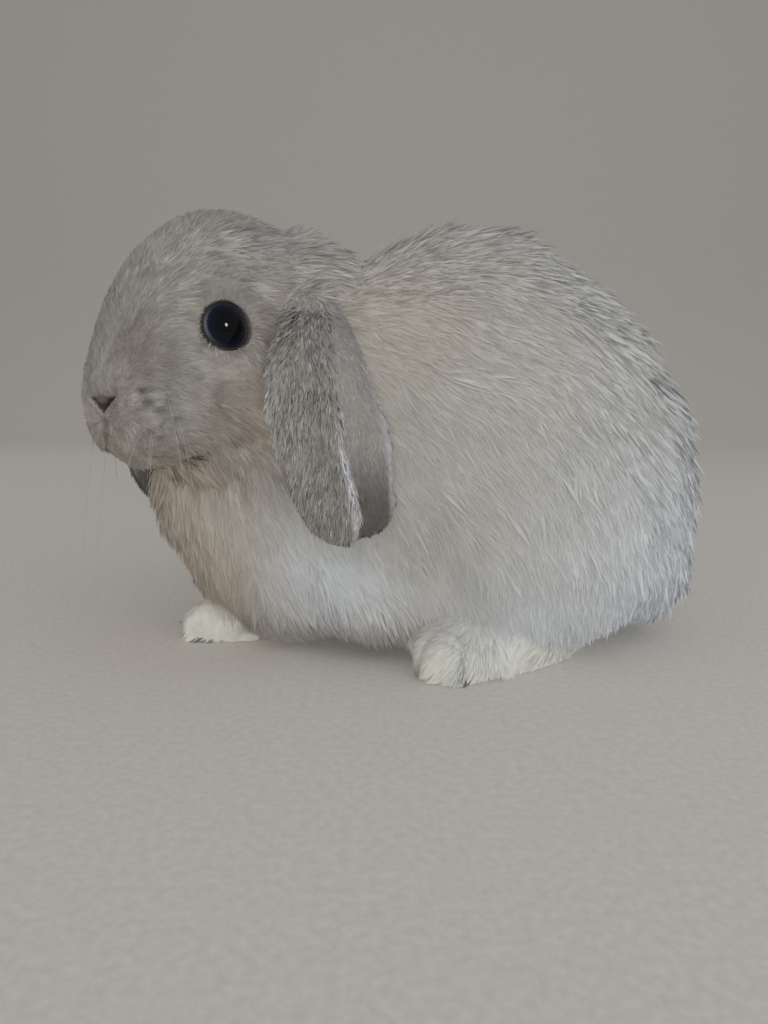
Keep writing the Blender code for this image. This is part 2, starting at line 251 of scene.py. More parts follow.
# Guide hairs of the body: where (x, y outwards, z), which way they lie, length and depth of the coat, reach
BODY_GUIDES = [
    ((-50, 6, 116), (1, 0.15, -0.25), 9, 4.6, 20),
    ((-22, 12, 121), (1, 0.15, -0.05), 11, 5.4, 22),
    ((22, 8, 133), (1, 0.1, -0.08), 12, 5.8, 26),
    ((60, 10, 112), (0.8, 0.1, -0.55), 13, 6.0, 22),
    ((82, 14, 86), (0.35, 0.1, -0.95), 13, 6.0, 22),
    ((90, 20, 52), (0.05, 0, -1), 13, 5.6, 20),
    ((72, 34, 18), (0.2, -0.1, -1), 12, 5.0, 20),
    ((-34, 36, 96), (0.8, 0.15, -0.62), 11, 5.2, 22),
    ((-30, 40, 72), (0.72, 0.1, -0.75), 12, 5.8, 22),
    ((-32, 38, 42), (0.5, 0, -0.9), 12, 5.6, 20),
    ((14, 46, 104), (0.86, 0.15, -0.5), 13, 6.2, 26),
    ((6, 52, 72), (0.68, 0, -0.78), 14, 6.4, 26),
    ((-4, 46, 34), (0.45, -0.1, -0.9), 13, 6.0, 22),
    ((48, 50, 88), (0.62, 0.1, -0.8), 14, 6.4, 24),
    ((50, 56, 56), (0.3, 0, -1), 14, 6.4, 24),
    ((42, 52, 28), (0.12, -0.05, -1), 12, 5.4, 18),
    ((-82, 4, 54), (0.05, 0.1, -1), 12, 5.6, 18),
    ((-64, 26, 56), (0.3, 0.1, -1), 12, 5.6, 18),
    ((-70, 10, 80), (0.2, 0.1, -1), 8, 3.6, 16),
    ((-58, 22, 26), (0.1, 0, -1), 9, 4.2, 14),
    ((-10, 10, 8), (1, 0, -0.2), 10, 4.6, 22),
    ((40, 10, 8), (1, 0, -0.2), 9, 4.2, 22),
    ((88, 6, 30), (0.1, 0, -1), 9, 4.0, 12),
    ((76, 8, 10), (-0.5, 0.2, -0.8), 9, 4.0, 14),
    ((-70, 12, 12), (-0.9, 0.1, -0.4), 3.4, 1.5, 9),
    ((-46, 14, 12), (-0.9, 0.1, -0.4), 5.5, 2.4, 9),
    ((10, 46, 10), (-0.85, 0.4, -0.4), 4.2, 1.7, 10),
    ((36, 40, 12), (-0.8, 0.4, -0.4), 6.0, 2.4, 9),
]

# Guide hairs of the head, in the head's frame: the same columns
HEAD_GUIDES = [
    ((31, 0, -17), (-0.45, 0.15, 1), 1.3, 0.7, 6),
    ((24, 3, 4), (-0.7, 0.1, 0.75), 3.0, 1.5, 9),
    ((8, 4, 26), (-0.9, 0.1, 0.4), 4.4, 2.3, 11),
    ((-14, 5, 34), (-1, 0.1, 0.05), 5.0, 2.8, 13),
    ((-34, 8, 24), (-0.85, 0.1, -0.5), 7, 3.8, 14),
    ((22, 11, -7), (-0.9, 0.35, 0.3), 2.2, 1.2, 8),
    ((25, 9, -20), (-0.85, 0.4, 0.05), 1.8, 1.0, 6),
    ((20, 14, -28), (-0.85, 0.3, -0.4), 2.6, 1.4, 8),
    ((25, 3, -36), (-0.6, 0.1, -0.8), 1.8, 1.1, 6),
    ((12, 7, -40), (-0.8, 0, -0.9), 4.2, 1.9, 8),
    ((2, 16, -38), (-0.8, 0, -0.85), 5.0, 2.3, 9),
    ((8, 21, -15), (-1, 0.15, -0.12), 3.0, 1.5, 9),
    ((-8, 28, -16), (-0.9, 0.1, -0.45), 5.0, 2.8, 11),
    ((-4, 24, -32), (-0.8, 0, -0.7), 4.8, 2.6, 10),
    ((2, 23, 12), (-0.7, 0.2, 0.6), 2.4, 1.3, 8),
    ((-14, 25, 4), (-1, 0.1, -0.1), 3.2, 1.8, 10),
    ((-18, 22, 20), (-1, 0.2, 0.0), 4.4, 2.4, 11),
    ((-36, 18, -6), (-0.75, 0.1, -0.7), 8, 4.4, 14),
]


def guide_table():
    """Place, direction, length, depth and reach of every guide hair, on both sides, in the rabbit's frame."""
    rows = []
    tables = ((Matrix.Identity(4), BODY_GUIDES, BODY_DEPTH), (HEAD, HEAD_GUIDES, HEAD_DEPTH))
    for side in (-1, 1):
        mirror = Vector((1, side, 1))
        for own, guides, share in tables:
            for place, lie, length, depth, reach in guides:
                spot = own @ (Vector(place) * mirror * MM)
                rows.append((spot, own.to_3x3() @ (Vector(lie) * mirror), length, depth * share, reach))
    places, lies, lengths, depths, reaches = zip(*rows)
    return np.array(places), unit(np.array(lies)), np.array(lengths), np.array(depths), np.array(reaches) * MM


def combed(points):
    """Direction, length and depth in mm of the coat at each point, from the guide hairs near it."""
    places, lies, lengths, depths, reaches = guide_table()
    gap = np.linalg.norm(points[:, None, :] - places[None], axis=2) / reaches
    weight = 1 / (GUIDE_CORE + gap**2) ** GUIDE_FALL
    weight /= weight.sum(axis=1, keepdims=True)
    return weight @ lies, weight @ lengths, weight @ depths


def eye_ring(points, side):
    """How far each point lies from an eye's middle, where 1 is the edge of the lids, and its x, y and z."""
    local = into(EYE_FRAMES[side], points)
    ring = np.hypot(local[:, 1] / LID_OPENING[0], local[:, 2] / LID_OPENING[1])
    ring = np.where(local[:, 0] > -EYE_BACK, ring, FAR)
    return ring, local


def nearer_ring(points):
    """The smaller of the two distances that eye_ring gives."""
    return np.minimum(eye_ring(points, 1)[0], eye_ring(points, -1)[0])


# ---- Meshes ----


def add_object(name, mesh):
    obj = bpy.data.objects.new(name, mesh)
    bpy.context.scene.collection.objects.link(obj)
    return obj


def read(items, key, width, kind=np.float32):
    """One property of every item, as rows of an array."""
    values = np.empty(len(items) * width, kind)
    items.foreach_get(key, values)
    return values.reshape(-1, width)


def get_points(mesh):
    return read(mesh.vertices, "co", 3).astype(float)


def set_points(mesh, points):
    mesh.vertices.foreach_set("co", points.astype(np.float32).ravel())
    mesh.update()


def get_normals(mesh):
    return unit(read(mesh.vertices, "normal", 3).astype(float))


def tree_of(mesh):
    """A tree that finds the nearest place on a mesh."""
    return BVHTree.FromPolygons([v.co for v in mesh.vertices], [p.vertices for p in mesh.polygons])


def mesh_of_triangles(name, points, triangles):
    mesh = bpy.data.meshes.new(name)
    mesh.vertices.add(len(points))
    mesh.vertices.foreach_set("co", points.astype(np.float32).ravel())
    mesh.loops.add(triangles.size)
    mesh.loops.foreach_set("vertex_index", triangles.astype(np.int32).ravel())
    mesh.polygons.add(len(triangles))
    mesh.polygons.foreach_set("loop_start", np.arange(0, triangles.size, 3, dtype=np.int32))
    mesh.update(calc_edges=True)
    return mesh


def from_bmesh(name, bm):
    """An object made of a bmesh, which is freed."""
    mesh = bpy.data.meshes.new(name)
    bm.to_mesh(mesh)
    bm.free()
    return add_object(name, mesh)


def copied(node):
    """A welded copy of a CAD node's mesh, as an object of its own."""
    bm = bmesh.new()
    bm.from_mesh(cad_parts[node].data)
    bmesh.ops.remove_doubles(bm, verts=bm.verts, dist=0.002 * MM)
    return from_bmesh(node + "_copy", bm)


def applied(obj):
    """The object with its modifiers turned into its mesh."""
    graph = bpy.context.evaluated_depsgraph_get()
    mesh = bpy.data.meshes.new_from_object(obj.evaluated_get(graph))
    obj.modifiers.clear()
    obj.data = mesh
    return obj


def joined(name, objects):
    bm = bmesh.new()
    for obj in objects:
        bm.from_mesh(obj.data)
        bpy.data.objects.remove(obj)
    return from_bmesh(name, bm)


def grown(obj, distance):
    """The object with its surface moved outwards."""
    set_points(obj.data, get_points(obj.data) + get_normals(obj.data) * distance)
    return obj


def fused(obj, voxel, smoothing):
    """The object as one closed skin: a voxel remesh, then passes that smooth it."""
    remesh = obj.modifiers.new("Fuse", "REMESH")
    remesh.mode = "VOXEL"
    remesh.voxel_size = voxel * MM
    smooth = obj.modifiers.new("Melt", "SMOOTH")
    smooth.iterations = smoothing
    smooth.factor = 0.5
    return applied(obj)


def ellipsoid(name, matrix, radii, segments=32):
    """A ball scaled to radii in mm, in the place that a frame gives."""
    bm = bmesh.new()
    bmesh.ops.create_uvsphere(bm, u_segments=segments, v_segments=segments // 2, radius=1.0)
    size = Matrix.Diagonal([*(Vector(radii) * MM), 1.0])
    bmesh.ops.transform(bm, matrix=matrix @ size, verts=bm.verts)
    bmesh.ops.recalc_face_normals(bm, faces=bm.faces)
    return from_bmesh(name, bm)


def ear_root(node):
    """A short stump that grows from the head into the top of a hanging ear."""
    points = get_points(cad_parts[node].data)
    top = points[points[:, 2] > points[:, 2].max() - EAR_TOP * MM].mean(axis=0)
    inwards = (HEAD @ (SKULL_MIDDLE * MM) - Vector(top)).normalized()
    turn = inwards.to_track_quat("Z", "Y").to_matrix().to_4x4()
    middle = Matrix.Translation(Vector(top) + inwards * EAR_ROOT_RADII[0] * MM)
    return ellipsoid(node + "_root", middle @ turn, EAR_ROOT_RADII)


ALL_AXES = ("use_axis_x", "use_axis_y", "use_axis_z")


def refine(mesh, chosen, levels):
    """Splits the faces whose points are all chosen into quarters, levels times, and smooths them."""
    bm = bmesh.new()
    bm.from_mesh(mesh)
    layer = bm.verts.layers.int.new("chosen")
    bm.verts.ensure_lookup_table()
    for vertex, flag in zip(bm.verts, chosen):
        vertex[layer] = int(flag)
    for _ in range(levels):
        edges = [e for e in bm.edges if e.verts[0][layer] and e.verts[1][layer]]
        made = bmesh.ops.subdivide_edges(bm, edges=edges, cuts=1, use_grid_fill=True)
        new = {e for e in made["geom_inner"] if isinstance(e, bmesh.types.BMVert)}
        for vertex in new:
            vertex[layer] = 1
        inner = [v for v in bm.verts if v[layer]]
        for _ in range(2):
            bmesh.ops.smooth_vert(bm, verts=inner, factor=0.5, **dict.fromkeys(ALL_AXES, True))
    bm.to_mesh(mesh)
    bm.free()
    mesh.update()


# ---- Folds of the skin ----

# Lines of the muzzle in the head's frame, as (y, z) seen from ahead: nostril, cleft and lip of the left side
NOSTRIL = [(7.3, -18.2), (5.8, -19.4), (3.4, -21.0), (0.8, -23.0)]
CLEFT = [(0, -22.8), (0, -25.4), (0, -27.8)]
LIP = [(0, -27.6), (1.0, -29.0), (2.6, -31.2), (4.6, -33.4), (7.6, -34.4)]


def distance_to(line, y, z):
    """Distance in mm of the points (y, z) from a line of points, mirrored onto the side y > 0."""
    spots = np.column_stack([np.abs(y), z])
    best = np.full(len(spots), 99.0)
    for a, b in zip(line, line[1:]):
        a, b = np.array(a, float), np.array(b, float)
        t = np.clip((spots - a) @ (b - a) / ((b - a) @ (b - a)), 0, 1)
        best = np.minimum(best, np.linalg.norm(spots - a - t[:, None] * (b - a), axis=1))
    return best


def muzzle_lines(points):
    """Masks of the nostrils, the cleft, the lips and the pad between the nostrils."""
    local = into(HEAD, points)
    y, z = local[:, 1], local[:, 2]
    ahead = step(17, 22, local[:, 0])
    nostril = bump(distance_to(NOSTRIL, y, z), 0.7) * ahead
    cleft = bump(distance_to(CLEFT, y, z), 0.42) * ahead
    lip = bump(distance_to(LIP, y, z), 0.5) * step(10, 16, local[:, 0])
    inside = step(0.4, -0.5, np.abs(y) - np.interp(z, (-23.4, -21.0, -19.4, -18.2), (0.0, 3.2, 5.6, 7.0)))
    pad = inside * step(-24.0, -23.0, z) * step(-17.4, -19.4, z - 0.8 * bump(y, 2.5)) * ahead
    return nostril, cleft, lip, pad


def blurred(mesh, values, rounds):
    """Values at the points of a mesh, averaged with those of their neighbours a number of times."""
    a, b = read(mesh.edges, "vertices", 2, np.int32).T
    count = len(values)
    degree = np.bincount(a, minlength=count) + np.bincount(b, minlength=count)
    for _ in range(rounds):
        around = np.bincount(a, values[b], count) + np.bincount(b, values[a], count)
        values = 0.5 * values + 0.5 * around / degree
    return values


def settle_head(mesh, points, normals, depth):
    """Moves the skin of the head, ahead of the ears, to lie just the coat's depth inside the head."""
    tree = tree_of(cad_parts["head"].data)
    share = step(-8, 4, into(HEAD, points)[:, 0]) * step(1.9, 2.8, nearer_ring(points))
    error = np.zeros(len(points))
    for k in np.nonzero(share)[0]:
        spot, face_normal, _, _ = tree.find_nearest(Vector(points[k]))
        error[k] = (spot - Vector(points[k])).dot(face_normal) / MM - depth[k]
    move = blurred(mesh, share * np.clip(error, -1.5, 1.5), 12)
    return points + normals * move[:, None] * MM


# The feet, seen from above: tip of the toes, heel, half width and how far apart the toes are
FEET = [
    ((-74.1, -13.6), (-34.6, -8.6), 9.5, 4.8),
    ((-71.6, 12.4), (-34.6, 10.4), 9.5, 4.8),
    ((2.4, -52.6), (55.4, -23.6), 12.0, 6.2),
    ((6.4, 52.4), (57.4, 24.4), 12.0, 6.2),
]


def on_foot(points, foot):
    """How far behind the toes' tip and how far outwards from the middle of a foot each point lies, in mm."""
    tip, heel = np.array(foot[0]), np.array(foot[1])
    back = (heel - tip) / np.linalg.norm(heel - tip)
    outwards = np.array([-back[1], back[0]]) * np.sign(tip[1] * back[0])
    gap = points[:, :2] / MM - tip
    return gap @ back, gap @ outwards


def shape_feet(points, normals):
    """Presses grooves between the toes, and one behind the outer toes of the hind feet."""
    z = points[:, 2] / MM
    low = step(17, 12, z) * step(-0.8, -0.3, normals[:, 2])
    press = np.zeros(len(points))
    for foot in FEET:
        back, outwards = on_foot(points, foot)
        _, _, half_width, spacing = foot
        toes = step(13, 7, back) * (back > -9) * (np.abs(outwards) < half_width + 4)
        for k in (-1, 0, 1):
            press = np.maximum(press, 1.1 * toes * bump(outwards - k * spacing, 0.9))
        if half_width > 10:
            behind = bump(back - 12, 1.5) * step(3, 7, outwards) * (outwards < half_width + 8)
            press = np.maximum(press, 2.0 * behind)
    return points - normals * (press * low)[:, None] * MM


def shape_muzzle(points, normals):
    nostril, cleft, lip, pad = muzzle_lines(points)
    dip = 1.5 * nostril + 0.75 * cleft + 0.9 * lip + 0.35 * pad * (1 - nostril)
    return points - normals * dip[:, None] * MM


def shape_lids(points, side):
    """Draws the skin back inside the lids, raises their rims, and presses a crease over them."""
    ring, local = eye_ring(points, side)
    near = ring < 2.9
    ball = EYE_RADII[0] * np.sqrt(
        np.clip(1 - (local[:, 1] / EYE_RADII[1]) ** 2 - (local[:, 2] / EYE_RADII[2]) ** 2, 0, 1)
    )
    out = local[:, 0].copy()
    rim = ball + 0.75 * bump(ring - 1.06, 0.075)
    out = np.where(ring < 1.12, rim - 0.7 * step(1.0, 0.93, ring), out)
    out = np.where((ring >= 1.12) & near, np.maximum(out, np.where(ball > 0, rim + 0.3, out)), out)
    above = step(0.1, 0.7, local[:, 2] / np.maximum(np.hypot(local[:, 1], local[:, 2]), 1e-6))
    out = out - np.where(near, 0.55 * bump(ring - 2.15, 0.12) * above, 0)
    corner = np.hypot(local[:, 1] - 7.6, local[:, 2] + 4.6)
    out = out - np.where(near, 0.5 * bump(corner, 1.3), 0)
    local[:, 0] = np.where(near, out, local[:, 0])
    return np.where(near[:, None], moved(EYE_FRAMES[side], local * MM), points)


# ---- Marks and painted light and shade, carried by the skin and the coat alike ----

MARKS = ("sky_light", "warm_bounce", "shade", "dark", "cream", "ring", "bare", "pink", "coarse")
ON_EAR = 1.45  # a point this close to an ear's solid is on the ear
EAR_SLICES = 15  # levels at which an ear's width is taken


def ear_places(points):
    """1 on an ear and 0 off it, and places across (-1 front, 1 rear), down (0 root, 1 tip) and outwards."""
    on_ear, across, down, outer = (np.zeros(len(points)) for _ in range(4))
    for node, (angle, side) in EARS.items():
        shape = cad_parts[node].data
        verts = get_points(shape)
        tree = tree_of(shape)
        near = np.array([tree.find_nearest(Vector(p), ON_EAR * MM)[3] is not None for p in points])
        back = np.array([math.cos(angle), math.sin(angle), 0])
        away = np.array([-math.sin(angle), math.cos(angle), 0]) * side
        levels = np.linspace(verts[:, 2].min(), verts[:, 2].max(), EAR_SLICES)
        width = (levels[1] - levels[0]) * 0.8
        slices = [verts[np.abs(verts[:, 2] - level) < width] for level in levels]
        front = np.interp(points[:, 2], levels, [(s @ back).min() for s in slices])
        rear = np.interp(points[:, 2], levels, [(s @ back).max() for s in slices])
        middle = np.interp(points[:, 2], levels, [(s @ away).mean() for s in slices])
        q = 2 * (points @ back - front) / (rear - front) - 1
        on_ear = np.where(near, 1.0, on_ear)
        across = np.where(near, q, across)
        down = np.where(near, (levels[-1] - points[:, 2]) / (levels[-1] - levels[0]), down)
        outer = np.where(near, np.where(points @ away > middle, 1.0, -1.0), outer)
    return on_ear, across, down, outer


TAIL_FRONT = 72  # nothing of the tail lies ahead of this x
TAIL_LIE = np.array([0.12, 0.0, 1.0])
TAIL_LENGTH = 7.5  # of its hair


def tail_share(points):
    """1 on the tail and 0 off it, by whether the tail or the trunk is nearer."""
    share = np.zeros(len(points))
    trees = [tree_of(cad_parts[name].data) for name in ("tail", "trunk")]
    for k in np.nonzero(points[:, 0] > TAIL_FRONT * MM)[0]:
        tail, trunk = (tree.find_nearest(Vector(points[k]))[3] for tree in trees)
        share[k] = step(-0.9, 0.3, (trunk - tail) / MM)
    return share


def near_place(points, place, radii):
    """1 at a place in mm, fading to 0 at about twice the radii."""
    return np.exp(-(((points / MM - np.array(place)) / np.array(radii)) ** 2).sum(axis=1))


def foot_reach(points):
    """Distance from the middle of the nearest foot, where 1 is about its outline."""
    best = np.full(len(points), FAR)
    for foot in FEET:
        back, outwards = on_foot(points, foot)
        half_length = math.dist(foot[0], foot[1]) / 2
        gap = np.hypot((back - half_length + 4) / (half_length + 2), outwards / (foot[2] + 3))
        best = np.minimum(best, gap)
    return best


def ear_fold(down):
    """Where the free edge of the front lobe lies across an ear, for each place down it."""
    return np.interp(down, (0, 0.45, 0.6, 0.72, 0.86, 1), (0.25, 0.22, 0.12, 0.16, 0.2, 0.1))


def shape_ears(points, normals, ears):
    """Opens the fold of each ear: a raised free edge, a groove behind it, a hollow lobe and a rear bead."""
    on_ear, across, down, outer = ears
    past = across - ear_fold(down)
    opened = on_ear * (outer > 0) * step(0.32, 0.58, down) * step(1.0, 0.95, down)
    edge = 0.6 * bump(past + 0.07, 0.09) - 1.3 * bump(past - 0.07, 0.075)
    lobe = -0.6 * step(0, 0.15, past) * step(0.92, 0.7, across) + 0.35 * bump(across - 0.93, 0.07)
    crease = -0.7 * on_ear * (outer > 0) * bump(across + 0.72, 0.1) * bump(down - 0.1, 0.1)
    return points + normals * ((edge + lobe) * opened + crease)[:, None] * MM


# Dark roots of the whiskers on the left pad, in the head's frame
FOLLICLES = [
    (27.2, 14.6, -16.9),
    (26.5, 15.8, -20.1),
    (25.1, 17.1, -21.8),
    (25.0, 17.0, -16.5),
    (22.8, 18.1, -15.1),
    (22.5, 18.3, -19.6),
    (19.9, 18.7, -17.9),
    (18.8, 17.8, -24.7),
    (23.8, 16.8, -26.2),
    (26.0, 15.1, -27.4),
    (23.0, 15.2, -29.6),
]

# Painted light on the body and, in the head's frame, on the head, as cool sky light and warm bounce light:
# mark, place, radii, how strong
BODY_PAINTED_LIGHT = [
    # Painted cool sky light on the low haunch and on the breast
    ("sky_light", (40, 50, 24), (34, 26, 20), 0.8),
    ("sky_light", (-32, 42, 32), (24, 20, 18), 0.9),
    # Painted warm bounce light on the chest, low on the chest and on the shoulder
    ("warm_bounce", (-76, 12, 62), (24, 30, 26), 1.0),
    ("warm_bounce", (-66, 16, 32), (20, 24, 22), 0.9),
    ("warm_bounce", (-20, 30, 104), (34, 30, 16), 0.3),
]
HEAD_PAINTED_LIGHT = [
    # Painted warm bounce light in the shade between the cheek and the ear
    ("warm_bounce", (-8, 24, -22), (13, 10, 15), 0.9),
]

# Darker and lighter patches of the head and of the body: place, radii, how much darker. On the head they are
# the face's marbling, with painted shade where marked; on the body they are painted shade, except the band
# along the top of the back
HEAD_TONES_AND_SHADES = [
    ((22, 13, -7), (7, 7, 8), 1.1),
    ((20, 7, 8), (8, 8, 9), 0.2),
    ((14, 18, 1), (4, 5, 5), -0.4),
    # Painted shade of the brow over the eye
    ((0, 20, 13), (8, 6, 3), 0.3),
    # Painted shade between the cheek and the ear
    ((3, 26, -22), (10, 9, 8), 1.2),
    ((9, 24, -12), (6, 6, 4), -0.25),
    # Painted shade behind the eye
    ((-6, 25, -3), (5, 6, 9), 0.75),
    # Painted shade under the jaw
    ((8, 14, -38), (16, 16, 7), 0.45),
    ((24, 12, -24), (7, 8, 6), 0.15),
    ((-14, 8, 32), (16, 16, 10), 0.4),
]
BODY_SHADES = [
    # Painted shade under the belly, between the legs and low on the chest
    ((-34, 10, 10), (40, 30, 12), 1.1),
    ((-8, 42, 10), (22, 20, 10), 1.0),
    ((-54, 6, 16), (16, 26, 12), 0.7),
    # Darker along the top of the back
    ((26, 18, 124), (34, 32, 20), 0.15),
    # Painted shade low on the chest, above the forepaw
    ((-66, 16, 32), (18, 24, 20), 0.5),
]


def mirrored(points):
    """Points brought to the side y > 0."""
    return np.column_stack([points[:, 0], np.abs(points[:, 1]), points[:, 2]])


def muzzle_marks(points, local):
    """Bare and pink marks of the nose, the mouth and the inner corners of the eyes, and dark painted shade
    along the creases of the mouth and the cleft.
    """
    ahead, across, above = local.T
    nostril, cleft, lip, pad = muzzle_lines(points)
    nose_top = step(-21.0, -19.2, above) * bump(across, 3.6)
    bare = step(1.26, 1.06, nearer_ring(points)) + nostril + 0.9 * cleft
    bare = np.clip(bare + 0.9 * lip * step(12, 16, ahead) + 1.2 * pad * (1 - 0.6 * nose_top), 0, 1)
    pink = 0.7 * pad * nose_top
    for side in (1, -1):
        own, spot = eye_ring(points, side)
        corner = np.hypot(spot[:, 1] - 8.4, spot[:, 2] + 6.2)
        pink = np.maximum(pink, 0.95 * bump(corner, 2.2) * (own < 3))
    # Painted shade on the hair beside the creases of the mouth and the cleft
    mouth = 0.45 * bump(distance_to(LIP, across, above), 0.9) * step(10, 16, ahead)
    split = 0.35 * bump(distance_to(CLEFT, across, above), 0.8) * step(17, 22, ahead)
    return bare, pink, np.maximum(mouth, split)


def ear_marks(ears):
    """Dark and coarse marks of the ears, and a painted rim highlight on their edges: the front lobe is
    ticked, the edges are lit pale.
    """
    on_ear, across, down, outer = ears
    past = across - ear_fold(down)
    front = step(0.03, -0.03, past) * (outer > 0)
    middle = bump(across + 0.1, 0.4) * step(0.15, 0.35, down)
    below_root = step(-0.02, 0.06, down)
    dark = on_ear * below_root * (0.36 + front * (0.07 + 0.15 * middle))
    tip, top = step(0.55, 0.85, down), step(0.4, 0.15, down)
    dark = dark + on_ear * (0.55 * (1 - front) * tip + 0.15 * front * top)
    freed = step(0.1, 0.25, down)
    # Painted rim highlight along the free edge of the fold and along the front and rear edges
    edges = bump(past + 0.03, 0.06) * (outer > 0) * step(0.4, 0.6, down)
    edges = np.maximum(edges, step(0.8, 0.93, np.abs(across)) * freed)
    edges = np.maximum(edges, 0.8 * step(0.76, 0.86, across) * (outer > 0) * freed)
    return dark, edges * on_ear, on_ear * (0.25 + 0.75 * front) * below_root


def markings_and_painted_light(points, ears):
    """How much of each mark, coat colour or painted light and shade, every point carries, from 0 to 1."""
    local = into(HEAD, points)
    head, body = mirrored(local) * MM, mirrored(points)
    x, z = points[:, 0] / MM, points[:, 2] / MM
    rings = nearer_ring(points)
    # Painted sky light grows towards the rump and downwards; the painted warm bounce light comes only from
    # the patches below
    marks = {"sky_light": step(-5, 80, x) * (0.25 + 0.75 * step(100, 25, z)), "warm_bounce": np.zeros(len(points))}
    for places, patches in ((body, BODY_PAINTED_LIGHT), (head, HEAD_PAINTED_LIGHT)):
        for mark, place, radii, share in patches:
            marks[mark] = np.maximum(marks[mark], share * near_place(places, place, radii))
    on_head = step(-46, -22, local[:, 0]) * step(-52, -40, local[:, 2]) * step(34, 28, np.abs(local[:, 1]))
    # The head is a darker grey all over; the extra darkness round the eyes is painted shade of the brows and
    # lids
    shade = 0.5 * on_head + 0.45 * step(2.3, 1.4, rings)
    for place, radii, more in HEAD_TONES_AND_SHADES:
        shade = shade + more * near_place(head, place, radii)
    for place, radii, more in BODY_SHADES:
        shade = shade + more * near_place(body, place, radii) * (1 - on_head)
    whiskered = near_place(head, (22, 16, -22), (9, 9, 9))
    mottle = 0.12 * ripple(points, 7, SEED + 4) + 0.3 * whiskered * ripple(points, 2.6, SEED + 5)
    marks["shade"] = np.clip(shade + on_head * mottle, 0, 1)
    marks["cream"] = step(17, 9, z) * step(2.2, 0.6, foot_reach(points))
    marks["ring"] = 0.08 * step(2.4, 1.5, rings)
    marks["bare"], marks["pink"], lines = muzzle_marks(points, local)
    keep = 1 - ears[0]
    marks = {mark: values * keep for mark, values in marks.items()}
    dark, edges, coarse = ear_marks(ears)
    # The muzzle's lines add their painted shade of the mouth and the cleft
    dark = np.maximum(dark, lines * keep)
    for place in FOLLICLES:
        dark = np.maximum(dark, np.minimum(1.0, 2.4 * near_place(head, place, (1.15, 1.15, 1.15))))
    marks["dark"] = dark
    # The ring mark carries the pale eye rings and the ears' painted rim highlight
    marks["ring"] = np.maximum(marks["ring"], edges)
    marks["coarse"] = coarse + 0.3 * on_head * keep
    return marks


def add_floats(mesh, values):
    """Stores a number for every point of a mesh under each name."""
    for name, numbers in values.items():
        layer = mesh.attributes.new(name, "FLOAT", "POINT")
        layer.data.foreach_set("value", np.asarray(numbers, np.float32))


# ---- Tufts ----


class Skin:
    """The finished skin as arrays, with what the coat needs to know at each of its points."""

    def __init__(self, obj):
        mesh = obj.data
        mesh.calc_loop_triangles()
        self.points = get_points(mesh)
        self.normals = get_normals(mesh)
        self.triangles = read(mesh.loop_triangles, "vertices", 3, np.int32)
        uv = read(mesh.uv_layers["OFBake"].uv, "vector", 2)
        self.uv = uv[read(mesh.loop_triangles, "loops", 3, np.int32)]
        a, b, c = (self.points[self.triangles[:, k]] for k in range(3))
        self.areas = np.linalg.norm(np.cross(b - a, c - a), axis=1) / 2 / MM**2
        self.fields = {}
        for name in (*MARKS, "on_ear", "across", "down"):
            self.fields[name] = read(mesh.attributes[name].data, "value", 1)[:, 0].astype(float)
        lie, lengths, depths = combed(self.points)
        for side in (1, -1):
            ring, local = eye_ring(self.points, side)
            outwards = np.column_stack([0 * ring, local[:, 1], local[:, 2]])
            away = moved(EYE_FRAMES[side].to_3x3().to_4x4(), outwards)
            share = (0.95 * bump(np.maximum(ring - 1.0, 0), 0.5))[:, None]
            lie = lie * (1 - share) + unit(away) * share
            shorter = 0.28 + 0.72 * step(1.0, 2.3, ring)
            lengths = lengths * shorter
            depths = depths * shorter
        tail = tail_share(self.points)
        lie = lie * (1 - tail[:, None]) + TAIL_LIE * tail[:, None]
        lengths = lengths + (TAIL_LENGTH - lengths) * tail
        on_ear, across, down, front_lobe = (self.fields[k] for k in ("on_ear", "across", "down", "coarse"))
        fan = np.array([0.3, 0.06, 0.0]) * (across * (0.6 + 1.4 * step(0.75, 1.0, down)))[:, None]
        ear_lie = unit(np.array([0.0, 0.0, -1.0]) + fan)
        lie = np.where(on_ear[:, None] > 0.5, ear_lie, lie)
        ear_length = (2.0 + 2.4 * front_lobe) * (1 - 0.45 * step(0.85, 1.0, down))
        ear_depth = (0.4 + 0.75 * front_lobe) * (1 - 0.4 * step(0.85, 1.0, down))
        root = step(0.14, 0.0, down)
        lengths = np.where(on_ear > 0.5, ear_length + 2.5 * root, lengths)
        depths = np.where(on_ear > 0.5, ear_depth + 1.2 * root, depths)
        lie = lie - self.normals * (lie * self.normals).sum(axis=1, keepdims=True)
        self.fields["length"] = lengths
        self.fields["depth"] = depths
        self.lie = unit(lie)
        self.rings = nearer_ring(self.points)

    def scatter(self, weight, count, rng):
        """count roots, spread over the triangles by area and weight: triangle and barycentric place."""
        mass = np.cumsum(self.areas * weight[self.triangles].mean(axis=1))
        picks = (np.arange(count) + rng.random(count)) / count * mass[-1]
        chosen = np.minimum(np.searchsorted(mass, picks), len(mass) - 1)
        r, s = np.sqrt(rng.random(count)), rng.random(count)
        return chosen, np.column_stack([1 - r, r * (1 - s), r * s])


# One closed tuft is a bowed blade of four points: the root, the two edges where it is widest, and the tip
BLADE = np.array([(0, 1, 2), (3, 2, 1), (0, 3, 1), (0, 2, 3)])
WIDEST = 0.42  # how far along a tuft it is widest
ALONG = np.array([0.0, WIDEST, WIDEST, 1.0])  # how far along it each point is
LOWEST = np.array([0.1, 0.3, 0.3, 0.2])  # how far in mm each point stays above the floor
ROOTED = 0.25  # how deep in mm a root sits in the skin
LOOSE = 0.12  # spread of the way that single tufts point
LIFTED = 0.38  # how far the shading of the underside is turned up and outwards
PATCH = 0.003  # width of a tuft's patch on the skin's own unwrap


